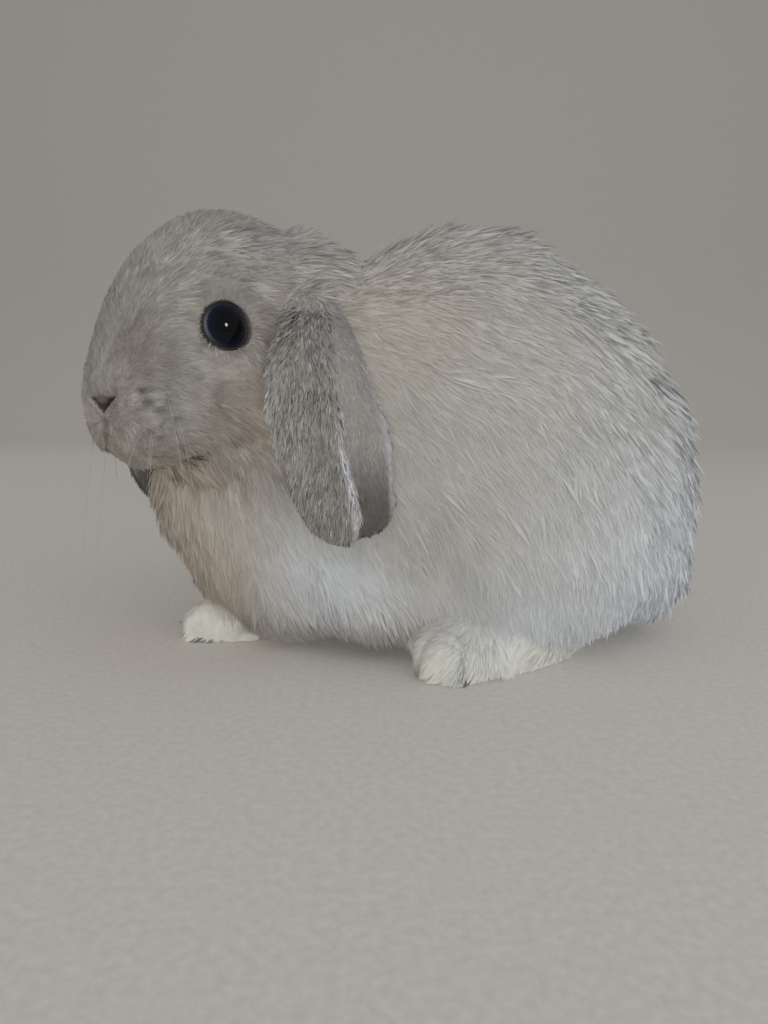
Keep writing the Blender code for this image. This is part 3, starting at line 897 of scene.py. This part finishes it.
def clumped(roots, tips, size, pull, rng):
    """Draws the tips of neighbouring tufts towards the tip of one of them."""
    leaders = rng.choice(len(roots), max(1, int(len(roots) / size)), replace=False)
    tree = KDTree(len(leaders))
    for k, leader in enumerate(leaders):
        tree.insert(roots[leader], k)
    tree.balance()
    mine = leaders[np.array([tree.find(p)[1] for p in roots])]
    target = tips[mine] + (roots - roots[mine]) * 0.35
    return tips + (target - tips) * pull, mine


def blades(skin, at_root, count, width, rng, clump, pull):
    """Roots of the tufts, the four points of each with the normals that shade them, and its leader."""
    roots = at_root(skin.points)
    normals = unit(at_root(skin.normals))
    lie = at_root(skin.lie)
    hair_length = at_root(skin.fields["length"]) * MM * rng.uniform(0.72, 1.18, count)
    depth = at_root(skin.fields["depth"]) * MM
    side = np.cross(normals, unit(lie))
    sway = ripple(roots, 16, SEED + 1) * 0.16 + rng.normal(0, LOOSE, count)
    lie = unit(lie + side * sway[:, None])
    lie = unit(lie - normals * (lie * normals).sum(axis=1, keepdims=True))
    height = depth * rng.uniform(0.5, 1.08, count) * (1 + 0.1 * ripple(roots, 9, SEED + 2))
    stands = rng.random(count) < at_root(skin.fields["fluff"])
    hair_length = np.where(stands, hair_length * rng.uniform(0.95, 1.2, count), hair_length)
    height = np.where(stands, depth * rng.uniform(1.1, 1.75, count), height)
    height = np.minimum(height, hair_length * 0.92)
    run = np.sqrt(hair_length**2 - height**2)
    tips = roots + lie * run[:, None] + normals * height[:, None]
    tips, leaders = clumped(roots, tips, clump, pull, rng)
    lie = unit(tips - roots)
    side = unit(np.cross(normals, lie))
    over = np.cross(lie, side)
    over *= np.sign((over * normals).sum(axis=1, keepdims=True))
    wide = width * MM * rng.uniform(0.75, 1.25, count) * np.where(stands, 0.7, 1)
    bend = rng.normal(0, 0.05, count) * hair_length
    lift = np.maximum(0.2 * height, 0.35 * wide)
    middle = roots + (tips - roots) * WIDEST + over * lift[:, None] + side * bend[:, None]
    half = side * wide[:, None] / 2
    body = np.stack([roots - normals * ROOTED * MM, middle + half, middle - half, tips], axis=1)
    body[:, :, 2] = np.maximum(body[:, :, 2], LOWEST * MM)
    outward = unit(roots * np.array([1.0, 1.0, 0.0]))
    lit = unit(normals - (np.array(UP) + outward) * LIFTED * np.minimum(normals[:, 2:], 0))
    shade = np.stack([lit, lit + side * 0.08, lit - side * 0.08, lit + lie * 0.08], axis=1)
    return roots, body, unit(shade.reshape(-1, 3)).reshape(body.shape), leaders


def tufts(name, skin, weight, count, width, rng, clump, pull, patchy, pieces):
    """Solid tufts over a part of the skin, split into a few objects that share one way of growing.

    clump is how many tufts lean together and pull how far, and patchy is how much of their tone they share.
    """
    chosen, share = skin.scatter(weight, count, rng)
    corners = skin.triangles[chosen]

    def at_root(values):
        return np.einsum("nk,nk...->n...", share, values[corners])

    roots, body, shade, leaders = blades(skin, at_root, count, width, rng, clump, pull)
    faces = BLADE
    a, b, c = (body[:50, faces[:, k]] - body[:50].mean(axis=1, keepdims=True) for k in range(3))
    if (a * np.cross(b, c)).sum() < 0:
        faces = faces[:, ::-1]
    root_uv = np.einsum("nk,nkd->nd", share, skin.uv[chosen])
    patch = np.array([(0, -0.5), (0.5, WIDEST - 0.5), (-0.5, WIDEST - 0.5), (0, 0.5)]) * PATCH
    patches = rng.normal(0, 0.12, count)[leaders] + 0.16 * ripple(roots, 5, SEED + 3)
    tone = np.clip(0.5 + rng.normal(0, 0.14 + 0.1 * (1 - patchy), count) + patches * patchy, 0, 1)
    marks = {mark: at_root(skin.fields[mark]) for mark in MARKS}
    order = np.argsort(roots[:, 0], kind="stable")
    made = []
    for k, group in enumerate(np.array_split(order, pieces)):
        piece_name = name if pieces == 1 else f"{name}_{k + 1}"
        per = body.shape[1]
        triangles = (np.arange(len(group))[:, None, None] * per + faces).reshape(-1, 3)
        mesh = mesh_of_triangles(piece_name, body[group].reshape(-1, 3), triangles)
        mesh.shade_smooth()
        floats = {"along": np.tile(ALONG, len(group)), "tone": np.repeat(tone[group], per)}
        floats.update({mark: np.repeat(values[group], per) for mark, values in marks.items()})
        add_floats(mesh, floats)
        uv = (root_uv[group][:, None, :] + patch).reshape(-1, 2)[triangles.ravel()]
        mesh.uv_layers.new(name="OFBake").uv.foreach_set("vector", uv.astype(np.float32).ravel())
        mesh.normals_split_custom_set_from_vertices(shade[group].reshape(-1, 3))
        made.append(add_object(piece_name, mesh))
    return made


def unwrapped(obj):
    """Gives the skin its OFBake map."""
    bpy.context.view_layer.objects.active = obj
    obj.select_set(True)
    obj.data.uv_layers.new(name="OFBake")
    bpy.ops.object.mode_set(mode="EDIT")
    bpy.ops.mesh.select_all(action="SELECT")
    bpy.ops.uv.smart_project(angle_limit=math.radians(66), island_margin=0.002, scale_to_bounds=True)
    bpy.ops.object.mode_set(mode="OBJECT")
    obj.select_set(False)


# ---- Materials ----


def node(tree, kind, settings=None, links=None):
    """A node with its settings (properties or input values) and its links (input: output socket)."""
    made = tree.nodes.new(kind)
    for key, value in (settings or {}).items():
        if isinstance(key, str) and hasattr(made, key):
            setattr(made, key, value)
        else:
            made.inputs[key].default_value = value
    for key, socket in (links or {}).items():
        tree.links.new(made.inputs[key], socket)
    return made


def new_material(name, fixed):
    """A material whose shader has the fixed values; gives its node tree and its shader too."""
    material = bpy.data.materials.new(name)
    material.use_nodes = True
    shader = material.node_tree.nodes["Principled BSDF"]
    for key, value in fixed.items():
        shader.inputs[key].default_value = value
    return material, material.node_tree, shader


def marked(tree, mark):
    """The value of a mark as an output socket."""
    return node(tree, "ShaderNodeAttribute", {"attribute_name": mark}).outputs["Fac"]


def ranged(tree, value, low, high, **settings):
    """A value from 0 to 1 taken to the range from low to high."""
    settings.update({"To Min": low, "To Max": high})
    return node(tree, "ShaderNodeMapRange", settings, {"Value": value}).outputs["Result"]


def grained(tree, size, settings=None):
    """Noise whose grains are size mm across."""
    place = node(tree, "ShaderNodeTexCoord").outputs["Object"]
    given = {"Scale": 1 / (size * MM), **(settings or {})}
    return node(tree, "ShaderNodeTexNoise", given, {"Vector": place}).outputs["Fac"]


def mixed(tree, share, first, second, blend="MIX"):
    """The first colour going over to the second by a share: values or sockets. Gives the output socket."""
    mix = tree.nodes.new("ShaderNodeMix")
    mix.data_type = "RGBA"
    mix.blend_type = blend
    for index, value in ((0, share), (6, first), (7, second)):
        if isinstance(value, bpy.types.NodeSocket):
            tree.links.new(mix.inputs[index], value)
        else:
            mix.inputs[index].default_value = value if index == 0 else (*value, 1.0)
    return mix.outputs[2]


def dimmed(tree, base, gain):
    """A colour multiplied by a number."""
    grey = node(tree, "ShaderNodeCombineColor", {}, {0: gain, 1: gain, 2: gain}).outputs[0]
    return mixed(tree, 1.0, base, grey, "MULTIPLY")


def computed(tree, operation, values, links):
    """A sum of numbers and sockets, given by the index of the input that each goes to."""
    return node(tree, "ShaderNodeMath", {"operation": operation, **values}, links).outputs[0]


def marked_colour(tree, coat):
    """The coat's colour from its marks and painted light and shade, the same for the skin and for the tufts.
    """
    found = tuple(coat.grey)
    for mark in ("sky_light", "shade", "warm_bounce", "dark", "ring", "cream"):
        found = mixed(tree, marked(tree, mark), found, tuple(getattr(coat, mark)))
    return found


def fur_material(name, coat):
    """Rabbit fur: soft keratin strands, dull, with darker roots, paler tips and a faint edge sheen."""
    fixed = {"Roughness": 0.72, "Specular IOR Level": 0.04, "Sheen Weight": 0.05, "Sheen Roughness": 0.45}
    material, tree, shader = new_material(name, fixed)
    depth = ranged(tree, marked(tree, "along"), 0.92, 1.04)
    spread = ranged(tree, marked(tree, "coarse"), 0.07, 0.85)
    centred = computed(tree, "SUBTRACT", {1: 0.5}, {0: marked(tree, "tone")})
    swing = computed(tree, "MULTIPLY", {}, {0: centred, 1: spread})
    lift = computed(tree, "MULTIPLY_ADD", {1: 2.0, 2: 1.0}, {0: swing})
    gain = computed(tree, "MULTIPLY", {}, {0: depth, 1: lift})
    tree.links.new(shader.inputs["Base Color"], dimmed(tree, marked_colour(tree, coat), gain))
    return material


def skin_material(coat):
    """Skin under the fur: the coat's own marks and painted light, a little darker by a fine grain as painted
    shade of the coat's depth, moist at lids and lips.
    """
    material, tree, shader = new_material("furred_skin", {"Specular IOR Level": 0.3})
    grain = grained(tree, 0.9, {"Detail": 4.0, "Roughness": 0.7})
    found = dimmed(tree, marked_colour(tree, coat), ranged(tree, grain, 0.8, 1.0))
    found = mixed(tree, marked(tree, "pink"), found, tuple(coat.pink))
    bare = marked(tree, "bare")
    tree.links.new(shader.inputs["Base Color"], mixed(tree, bare, found, tuple(coat.bare)))
    tree.links.new(shader.inputs["Roughness"], ranged(tree, bare, 0.8, 0.38))
    pores = node(tree, "ShaderNodeBump", {"Strength": 0.5, "Distance": 0.3 * MM}, {"Height": grain})
    tree.links.new(shader.inputs["Normal"], pores.outputs["Normal"])
    return material


def eye_material(eyes):
    """A living eye: a near black pupil and a very dark blue iris under a wet, clear cornea."""
    fixed = {"Roughness": 0.03, "IOR": 1.38, "Specular IOR Level": 0.28}
    material, tree, shader = new_material("wet_eye", fixed)
    fibres = grained(tree, 1.1, {"Detail": 3.0})
    iris = mixed(tree, fibres, tuple(c * 0.5 for c in eyes.iris), tuple(c * 1.1 for c in eyes.iris))
    soft_edge = {"From Min": 0.78, "From Max": 0.95, "interpolation_type": "SMOOTHSTEP"}
    pupil = ranged(tree, marked(tree, "gaze"), 0.0, 1.0, **soft_edge)
    found = mixed(tree, pupil, iris, tuple(eyes.pupil))
    found = mixed(tree, marked(tree, "white"), found, tuple(eyes.white))
    tree.links.new(shader.inputs["Base Color"], found)
    return material


def plain_material(name, base, roughness, grain_size):
    """A dull solid with a fine mottle of grain_size mm."""
    material, tree, shader = new_material(name, {"Roughness": roughness})
    grain = grained(tree, grain_size)
    darker, paler = tuple(c * 0.85 for c in base), tuple(min(1, c * 1.12) for c in base)
    tree.links.new(shader.inputs["Base Color"], mixed(tree, grain, darker, paler))
    return material


# ---- Operators ----


def settings():
    return bpy.context.scene.lop_rabbit


def carried(obj, material):
    """Puts a piece on the body and gives it a material."""
    obj.data.materials.clear()
    obj.data.materials.append(material)
    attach(obj, "root")
    return obj


class LOPRABBIT_OT_skin(bpy.types.Operator):
    """Joins the flesh into one skin that lies under the coat, with lids, nostrils and lips"""

    bl_idname = "lop_rabbit.skin"
    bl_label = "Skin"

    def execute(self, context):
        flesh = joined("flesh", [grown(copied(name), SEAM_CLOSING * MM) for name in FLESH])
        for matrix in EYE_FRAMES.values():
            flesh = joined("flesh", [flesh, ellipsoid("ball", matrix, EYE_RADII)])
        flesh = fused(flesh, FUSE_VOXEL, 9)
        points, normals = get_points(flesh.data), get_normals(flesh.data)
        depth = combed(points)[2] * 0.97 + SEAM_CLOSING
        depth = depth * (0.45 + 0.55 * step(1.2, 2.6, nearer_ring(points)))
        depth = depth * step(-1, 3.2, points[:, 2] / MM + 0.4 * depth)
        set_points(flesh.data, points - normals * depth[:, None] * MM)
        parts = [flesh]
        for name in EARS:
            ear = fused(copied(name), EAR_VOXEL, 7)
            parts += [grown(ear, -0.3 * MM), ear_root(name)]
        skin = fused(joined("rabbit_skin", parts), SKIN_VOXEL, 4)
        points = get_points(skin.data)
        points[:, 2] = np.maximum(points[:, 2], 0.3 * MM)
        set_points(skin.data, points)
        local = into(HEAD, points)
        muzzle = (local[:, 0] > 15) & (np.abs(local[:, 1]) < 20) & (np.abs(local[:, 2] + 25) < 13)
        refine(skin.data, (nearer_ring(points) < 1.75) | muzzle, 2)
        points = get_points(skin.data)
        on_ear, _, down, _ = ear_places(points)
        refine(skin.data, (on_ear > 0.5) & (down > 0.03), 1)
        points, normals = get_points(skin.data), get_normals(skin.data)
        ears = ear_places(points)
        points = shape_ears(points, normals, ears)
        points = settle_head(skin.data, points, normals, combed(points)[2])
        points = shape_muzzle(points, normals)
        points = shape_feet(points, normals)
        for side in EYE_FRAMES:
            points = shape_lids(points, side)
        set_points(skin.data, points)
        floats = markings_and_painted_light(points, ears)
        floats.update(zip(("on_ear", "across", "down"), ears[:3]))
        add_floats(skin.data, floats)
        skin.data.shade_smooth()
        unwrapped(skin)
        carried(skin, skin_material(settings().coat))
        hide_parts(*FLESH, *EARS)
        return {"FINISHED"}


HEAD_BOTTOM = 50  # short hair below this height isn't the head's


class LOPRABBIT_OT_coat(bpy.types.Operator):
    """Grows the coat as solid tufts that follow the lie of the hair"""

    bl_idname = "lop_rabbit.coat"
    bl_label = "Coat"

    def execute(self, context):
        coat = settings().coat
        skin = Skin(bpy.data.objects["rabbit_skin"])
        field = skin.fields
        nostril, cleft, lip, pad = muzzle_lines(skin.points)
        wet = np.clip(1.8 * nostril + 0.7 * cleft + lip + 1.3 * pad, 0, 1)
        open_skin = step(1.03, 1.16, skin.rings) * (1 - 0.9 * field["pink"]) * (1 - wet)
        on_ear = field["on_ear"]
        z = skin.points[:, 2] / MM
        foot = step(1.35, 1.1, foot_reach(skin.points)) * step(19, 14, z)
        head = step(6.0, 5.2, field["length"]) * (1 - foot) * (z > HEAD_BOTTOM)
        body = (1 - head) * (1 - foot) * (1 - on_ear)
        head = head * (1 - on_ear)
        shortness = np.clip(3.4 / field["length"], 0.6, 2.4)
        hair = coat.hair_width / MM
        local = into(HEAD, skin.points)
        crown = near_place(local * MM, (6, 0, 24), (34, 30, 30))
        edge = on_ear * step(0.88, 0.98, np.abs(field["across"]))
        field["fluff"] = 0.02 + 0.38 * crown * (1 - on_ear) + 0.2 * edge
        lines = [distance_to(line, local[:, 1], local[:, 2]) for line in (NOSTRIL, CLEFT, LIP)]
        near_nose = np.minimum.reduce(lines) + 9 * (local[:, 0] < 14)
        field["length"] = field["length"] * (0.35 + 0.65 * step(0.6, 2.6, near_nose))
        facing = skin.normals[:, 2]
        above = 0.45 + 0.55 * step(-0.95, -0.3, facing)
        above = above * np.maximum(step(-0.6, -0.2, facing), step(5, 8, z))
        scale = 1.0
        rng = np.random.default_rng(SEED)
        fur = fur_material("rabbit_fur", coat)
        on_face = head * open_skin * shortness
        ears = on_ear * (0.7 + 0.3 * field["coarse"])
        groups = (
            ("coat_body", "coat", body * above, coat.body_hairs, 1.0, (30, 0.08, 1.0, 4)),
            ("coat_head", "coat", on_face, coat.head_hairs, 0.8, (6, 0.1, 1.0, 2)),
            ("coat_ears", "ear_coat", ears, coat.ear_hairs, 1.0, (4, 0.2, 0.3, 2)),
            ("coat_feet", "foot_coat", foot * above, coat.foot_hairs, 1.0, (8, 0.15, 1.0, 1)),
        )
        for name, slot, weight, count, finer, growth in groups:
            for piece in tufts(name, skin, weight, int(count * scale), hair * finer, rng, *growth):
                carried(piece, fur)
        return {"FINISHED"}


class LOPRABBIT_OT_eyes(bpy.types.Operator):
    """Makes the two eyeballs, each with a bulging cornea"""

    bl_idname = "lop_rabbit.eyes"
    bl_label = "Eyes"

    def execute(self, context):
        wet = eye_material(settings().eyes)
        for side, word in ((1, "left"), (-1, "right")):
            ball = ellipsoid(f"eyeball_{word}", EYE_FRAMES[side], EYE_RADII, segments=144)
            local = into(EYE_FRAMES[side], get_points(ball.data))
            around = unit(local / np.array(EYE_RADII))
            local = local + around * CORNEA_BULGE * step(0.55, 0.95, around[:, :1])
            local[:, 0] = np.minimum(local[:, 0], EYE_RADII[0] + CORNEA_BULGE)
            set_points(ball.data, moved(EYE_FRAMES[side], local * MM))
            gaze = around[:, 0]
            edge = np.hypot(local[:, 1] / LID_OPENING[0], local[:, 2] / LID_OPENING[1])
            corner = bump(edge - 0.95, 0.05) * bump(local[:, 2], 3.8) * (gaze > 0)
            add_floats(ball.data, {"gaze": gaze, "white": np.maximum(0.5 * corner, gaze < 0.4)})
            ball.data.shade_smooth()
            carried(ball, wet)
            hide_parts(f"eye_{word}")
        return {"FINISHED"}


# Whiskers of the left side: root in the head's frame, way it points, reach, droop and kind
WHISKERS = [
    ((27.2, 14.6, -16.9), (0.75, 0.6, 0.35), 12, 2, "pale"),
    ((26.5, 15.8, -20.1), (0.8, 0.55, 0.1), 14, 4, "pale"),
    ((25.0, 17.0, -16.5), (0.3, 0.9, 0.3), 12, 3, "pale"),
    ((26.0, 15.1, -27.4), (0.75, 0.45, -0.4), 13, 6, "pale"),
    ((23.8, 16.8, -26.2), (0.6, 0.6, -0.5), 13, 8, "pale"),
    ((23.0, 15.2, -29.6), (0.5, 0.45, -0.7), 14, 8, "pale"),
    ((18.8, 17.8, -24.7), (-0.15, 0.3, -0.95), 21, 2, "dark"),
    ((19.9, 18.7, -17.9), (0.14, 0.62, -0.75), 30, 51, "pale"),
    ((17.0, 18.2, -23.5), (0.1, 0.6, -0.78), 30, 46, "pale"),
]
WHISKER_RADII = (0.065, 0.03)  # at the root and near the tip
WHISKER_ROOT = 0.4  # how deep it sits in the skin


def tube(name, path, start, end, sides=5):
    """A thin closed strand along a path, tapering from one radius to the other."""
    path = [Vector(p) for p in path]
    points = []
    for k, place in enumerate(path[:-1]):
        along = (path[min(k + 1, len(path) - 1)] - path[max(k - 1, 0)]).normalized()
        side = along.orthogonal().normalized()
        radius = start + (end - start) * k / (len(path) - 1)
        for turn in range(sides):
            points.append(place + Matrix.Rotation(2 * math.pi * turn / sides, 3, along) @ side * radius)
    points.append(path[-1])
    faces = []
    for k in range(len(path) - 2):
        for turn in range(sides):
            a, b = k * sides + turn, k * sides + (turn + 1) % sides
            faces.append((a, b, b + sides, a + sides))
    tip, last = len(points) - 1, (len(path) - 2) * sides
    faces += [(last + turn, last + (turn + 1) % sides, tip) for turn in range(sides)]
    faces.append(tuple(reversed(range(sides))))
    mesh = bpy.data.meshes.new(name)
    mesh.from_pydata([tuple(p) for p in points], [], faces)
    bm = bmesh.new()
    bm.from_mesh(mesh)
    bmesh.ops.recalc_face_normals(bm, faces=bm.faces)
    bm.to_mesh(mesh)
    bm.free()
    mesh.shade_smooth()
    return add_object(name, mesh)


class LOPRABBIT_OT_whiskers(bpy.types.Operator):
    """Sets the whiskers in the pads of the upper lip"""

    bl_idname = "lop_rabbit.whiskers"
    bl_label = "Whiskers"

    def execute(self, context):
        tree = tree_of(bpy.data.objects["rabbit_skin"].data)
        strands = {"pale": [], "dark": []}
        for side in (1, -1):
            mirror = Vector((1, side, 1))
            for place, way, reach, droop, kind in WHISKERS:
                root = tree.find_nearest(HEAD @ (Vector(place) * mirror * MM))[0]
                heading = (HEAD.to_3x3() @ (Vector(way) * mirror)).normalized()
                path = []
                for t in np.linspace(0, 1, 20):
                    path.append(root + heading * (reach * t - WHISKER_ROOT) * MM - UP * droop * t * t * MM)
                strands[kind].append(tube("strand", path, *(radius * MM for radius in WHISKER_RADII)))
        # Whisker keratin: stiff, smooth and half glossy, so that single hairs catch a thin line of light
        for name, hue in (("pale", "#bdb8b0"), ("dark", "#3d3733")):
            whiskers = joined(f"whiskers_{name}", strands[name])
            whiskers.data.shade_smooth()
            carried(whiskers, plain_material(f"{name}_whisker_keratin", linear(hue), 0.4, 2.0))
        return {"FINISHED"}


CLAW_HEIGHT = 4.2  # above the floor, and also how far apart the claws of a foot are
CLAW_RADII = (0.75, 0.2)


class LOPRABBIT_OT_claws(bpy.types.Operator):
    """Puts up to four small claws on each foot, where a toe is met, nearly hidden in the hair"""

    bl_idname = "lop_rabbit.claws"
    bl_label = "Claws"

    def execute(self, context):
        tree = tree_of(bpy.data.objects["rabbit_skin"].data)
        # Claw horn: pale grey brown, with the dull gloss of a worn nail
        horn = plain_material("claw_horn", linear("#a39788"), 0.45, 1.0)
        strands = []
        for foot, spread in (("forepaw", 0.1), ("hind_foot", 0.48)):
            for side, word in ((-1, "left"), (1, "right")):
                low, high = (Vector(c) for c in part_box(f"{foot}_{word}"))
                ahead = Vector((-1, side * spread, 0)).normalized()
                beside = Vector((-ahead.y, ahead.x, 0))
                middle = (low + high) / 2
                for k in range(4):
                    offset = (k - 1.5) * CLAW_HEIGHT * MM
                    level = Vector((middle.x, middle.y, CLAW_HEIGHT * MM))
                    start = level + beside * offset + ahead * 60 * MM
                    hit = tree.ray_cast(start, -ahead)[0]
                    if hit is None:
                        continue
                    path = []
                    for t in np.linspace(0, 1, 7):
                        path.append(hit + ahead * (t * 3.0 - 1.2) * MM - UP * 1.4 * t * t * MM)
                    strands.append(tube("claw", path, *(radius * MM for radius in CLAW_RADII), sides=8))
        carried(joined("claws", strands), horn)
        return {"FINISHED"}


# Lights: name, place, size, which power and how much of it, colour, whether it casts shadows
LIGHTS = [
    ("soft_light", (0.2, -0.95, 0.55), 1.3, "soft_power", 1.0, "#fffdfb", False),
    ("key_light", (0.5, -0.8, 0.8), 1.3, "key_power", 1.0, "#fffdfa", True),
    ("fill_light", (-0.8, -0.55, 0.35), 1.0, "fill_power", 1.3, "#fff4e8", False),
    ("low_light", (0.9, -0.42, 0.25), 0.8, "fill_power", 1.8, "#e2ecff", False),
    ("back_light", (0.05, 1.9, 0.9), 2.0, "back_power", 1.0, "#f2f5fa", False),
    ("rim_light_left", (-0.6, 0.5, 0.5), 0.5, "rim_power", 1.0, "#ffffff", False),
    ("rim_light_right", (0.75, 0.3, 0.35), 0.5, "rim_power", 1.0, "#eaf2ff", False),
]
CATCH_PLACE = (0.574, -0.509, 0.292)  # of the light that shows in the eyes
CAMERA_PLACE = (-0.007561, -0.262602, 0.084)
CAMERA_DOWN = math.radians(9.37)  # how far it looks down


def area_light(name, place, size, power, hue, shades):
    """A square light that looks at the rabbit and doesn't show in anything glossy."""
    light = bpy.data.lights.new(name, "AREA")
    light.use_shadow = shades
    light.size = size
    light.energy = power
    light.color = linear(hue)
    obj = add_object(name, light)
    obj.visible_glossy = False
    obj.location = place
    obj.rotation_euler = (Vector((0, 0, 0.06)) - Vector(place)).to_track_quat("-Z", "Y").to_euler()
    return obj


class LOPRABBIT_OT_stage(bpy.types.Operator):
    """Sets up the floor, the lights and the camera"""

    bl_idname = "lop_rabbit.stage"
    bl_label = "Stage"

    def execute(self, context):
        stage = settings().stage
        scene = context.scene
        quarter = np.linspace(0, math.pi / 2, 12)
        bend = [(0.9 + 0.35 * math.sin(a), 0.35 - 0.35 * math.cos(a)) for a in quarter]
        profile = [(-1.6, 0.0), *bend, (1.25, 1.6)]  # y and z of the floor and of the wall it turns up into
        points = [(x, y, z) for y, z in profile for x in (-2.0, 2.0)]
        faces = [(k, k + 1, k + 3, k + 2) for k in range(0, len(points) - 2, 2)]
        mesh = bpy.data.meshes.new("studio_floor")
        mesh.from_pydata(points, [], faces)
        mesh.shade_smooth()
        # Studio paper: matt, pale and nearly even, so that it only shows the shadow
        mesh.materials.append(plain_material("studio_paper", tuple(stage.floor), 0.85, 2.0))
        add_object("studio_floor", mesh)
        for name, place, size, power, share, hue, shades in LIGHTS:
            area_light(name, place, size, share * getattr(stage, power), hue, shades)
        catch = area_light("catch_light", CATCH_PLACE, 0.12, 1.2, "#ffffff", True)
        catch.visible_glossy = True
        catch.visible_diffuse = False
        catch.data.shape = "DISK"
        world = bpy.data.worlds.new("studio_air")
        world.use_nodes = True
        air = world.node_tree.nodes["Background"]
        air.inputs["Color"].default_value = (*linear("#e9ecee"), 1.0)
        air.inputs["Strength"].default_value = 0.42
        scene.world = world
        scene.view_settings.view_transform = "Standard"
        camera = bpy.data.cameras.new("camera")
        camera.lens = stage.focal_length
        camera.clip_start = 0.01
        obj = add_object("camera", camera)
        obj.location = CAMERA_PLACE
        obj.rotation_euler = (math.pi / 2 - CAMERA_DOWN, 0, 0)
        scene.camera = obj
        return {"FINISHED"}


STEPS = (
    LOPRABBIT_OT_stage,
    LOPRABBIT_OT_skin,
    LOPRABBIT_OT_eyes,
    LOPRABBIT_OT_coat,
    LOPRABBIT_OT_whiskers,
    LOPRABBIT_OT_claws,
)


class LOPRABBIT_PT_panel(bpy.types.Panel):
    """The steps of the model, in the order that builds it"""

    bl_label = "Lop Rabbit"
    bl_space_type = "VIEW_3D"
    bl_region_type = "UI"
    bl_category = "Rabbit"

    def draw(self, context):
        for operator in STEPS:
            self.layout.operator(operator.bl_idname)
        for group in (settings().coat, settings().eyes, settings().stage):
            box = self.layout.box()
            for name in group.__annotations__:
                box.prop(group, name)


CLASSES = (
    LOPRABBIT_PG_coat,
    LOPRABBIT_PG_eyes,
    LOPRABBIT_PG_stage,
    LOPRABBIT_PG_model,
    *STEPS,
    LOPRABBIT_PT_panel,
)


def register():
    for made in CLASSES:
        bpy.utils.register_class(made)
    bpy.types.Scene.lop_rabbit = PointerProperty(type=LOPRABBIT_PG_model)


def unregister():
    del bpy.types.Scene.lop_rabbit
    for made in reversed(CLASSES):
        bpy.utils.unregister_class(made)


def main():
    register()
    for operator in STEPS:
        name = operator.bl_idname.split(".")[1]
        getattr(bpy.ops.lop_rabbit, name)()


if __name__ == "__main__":
    main()
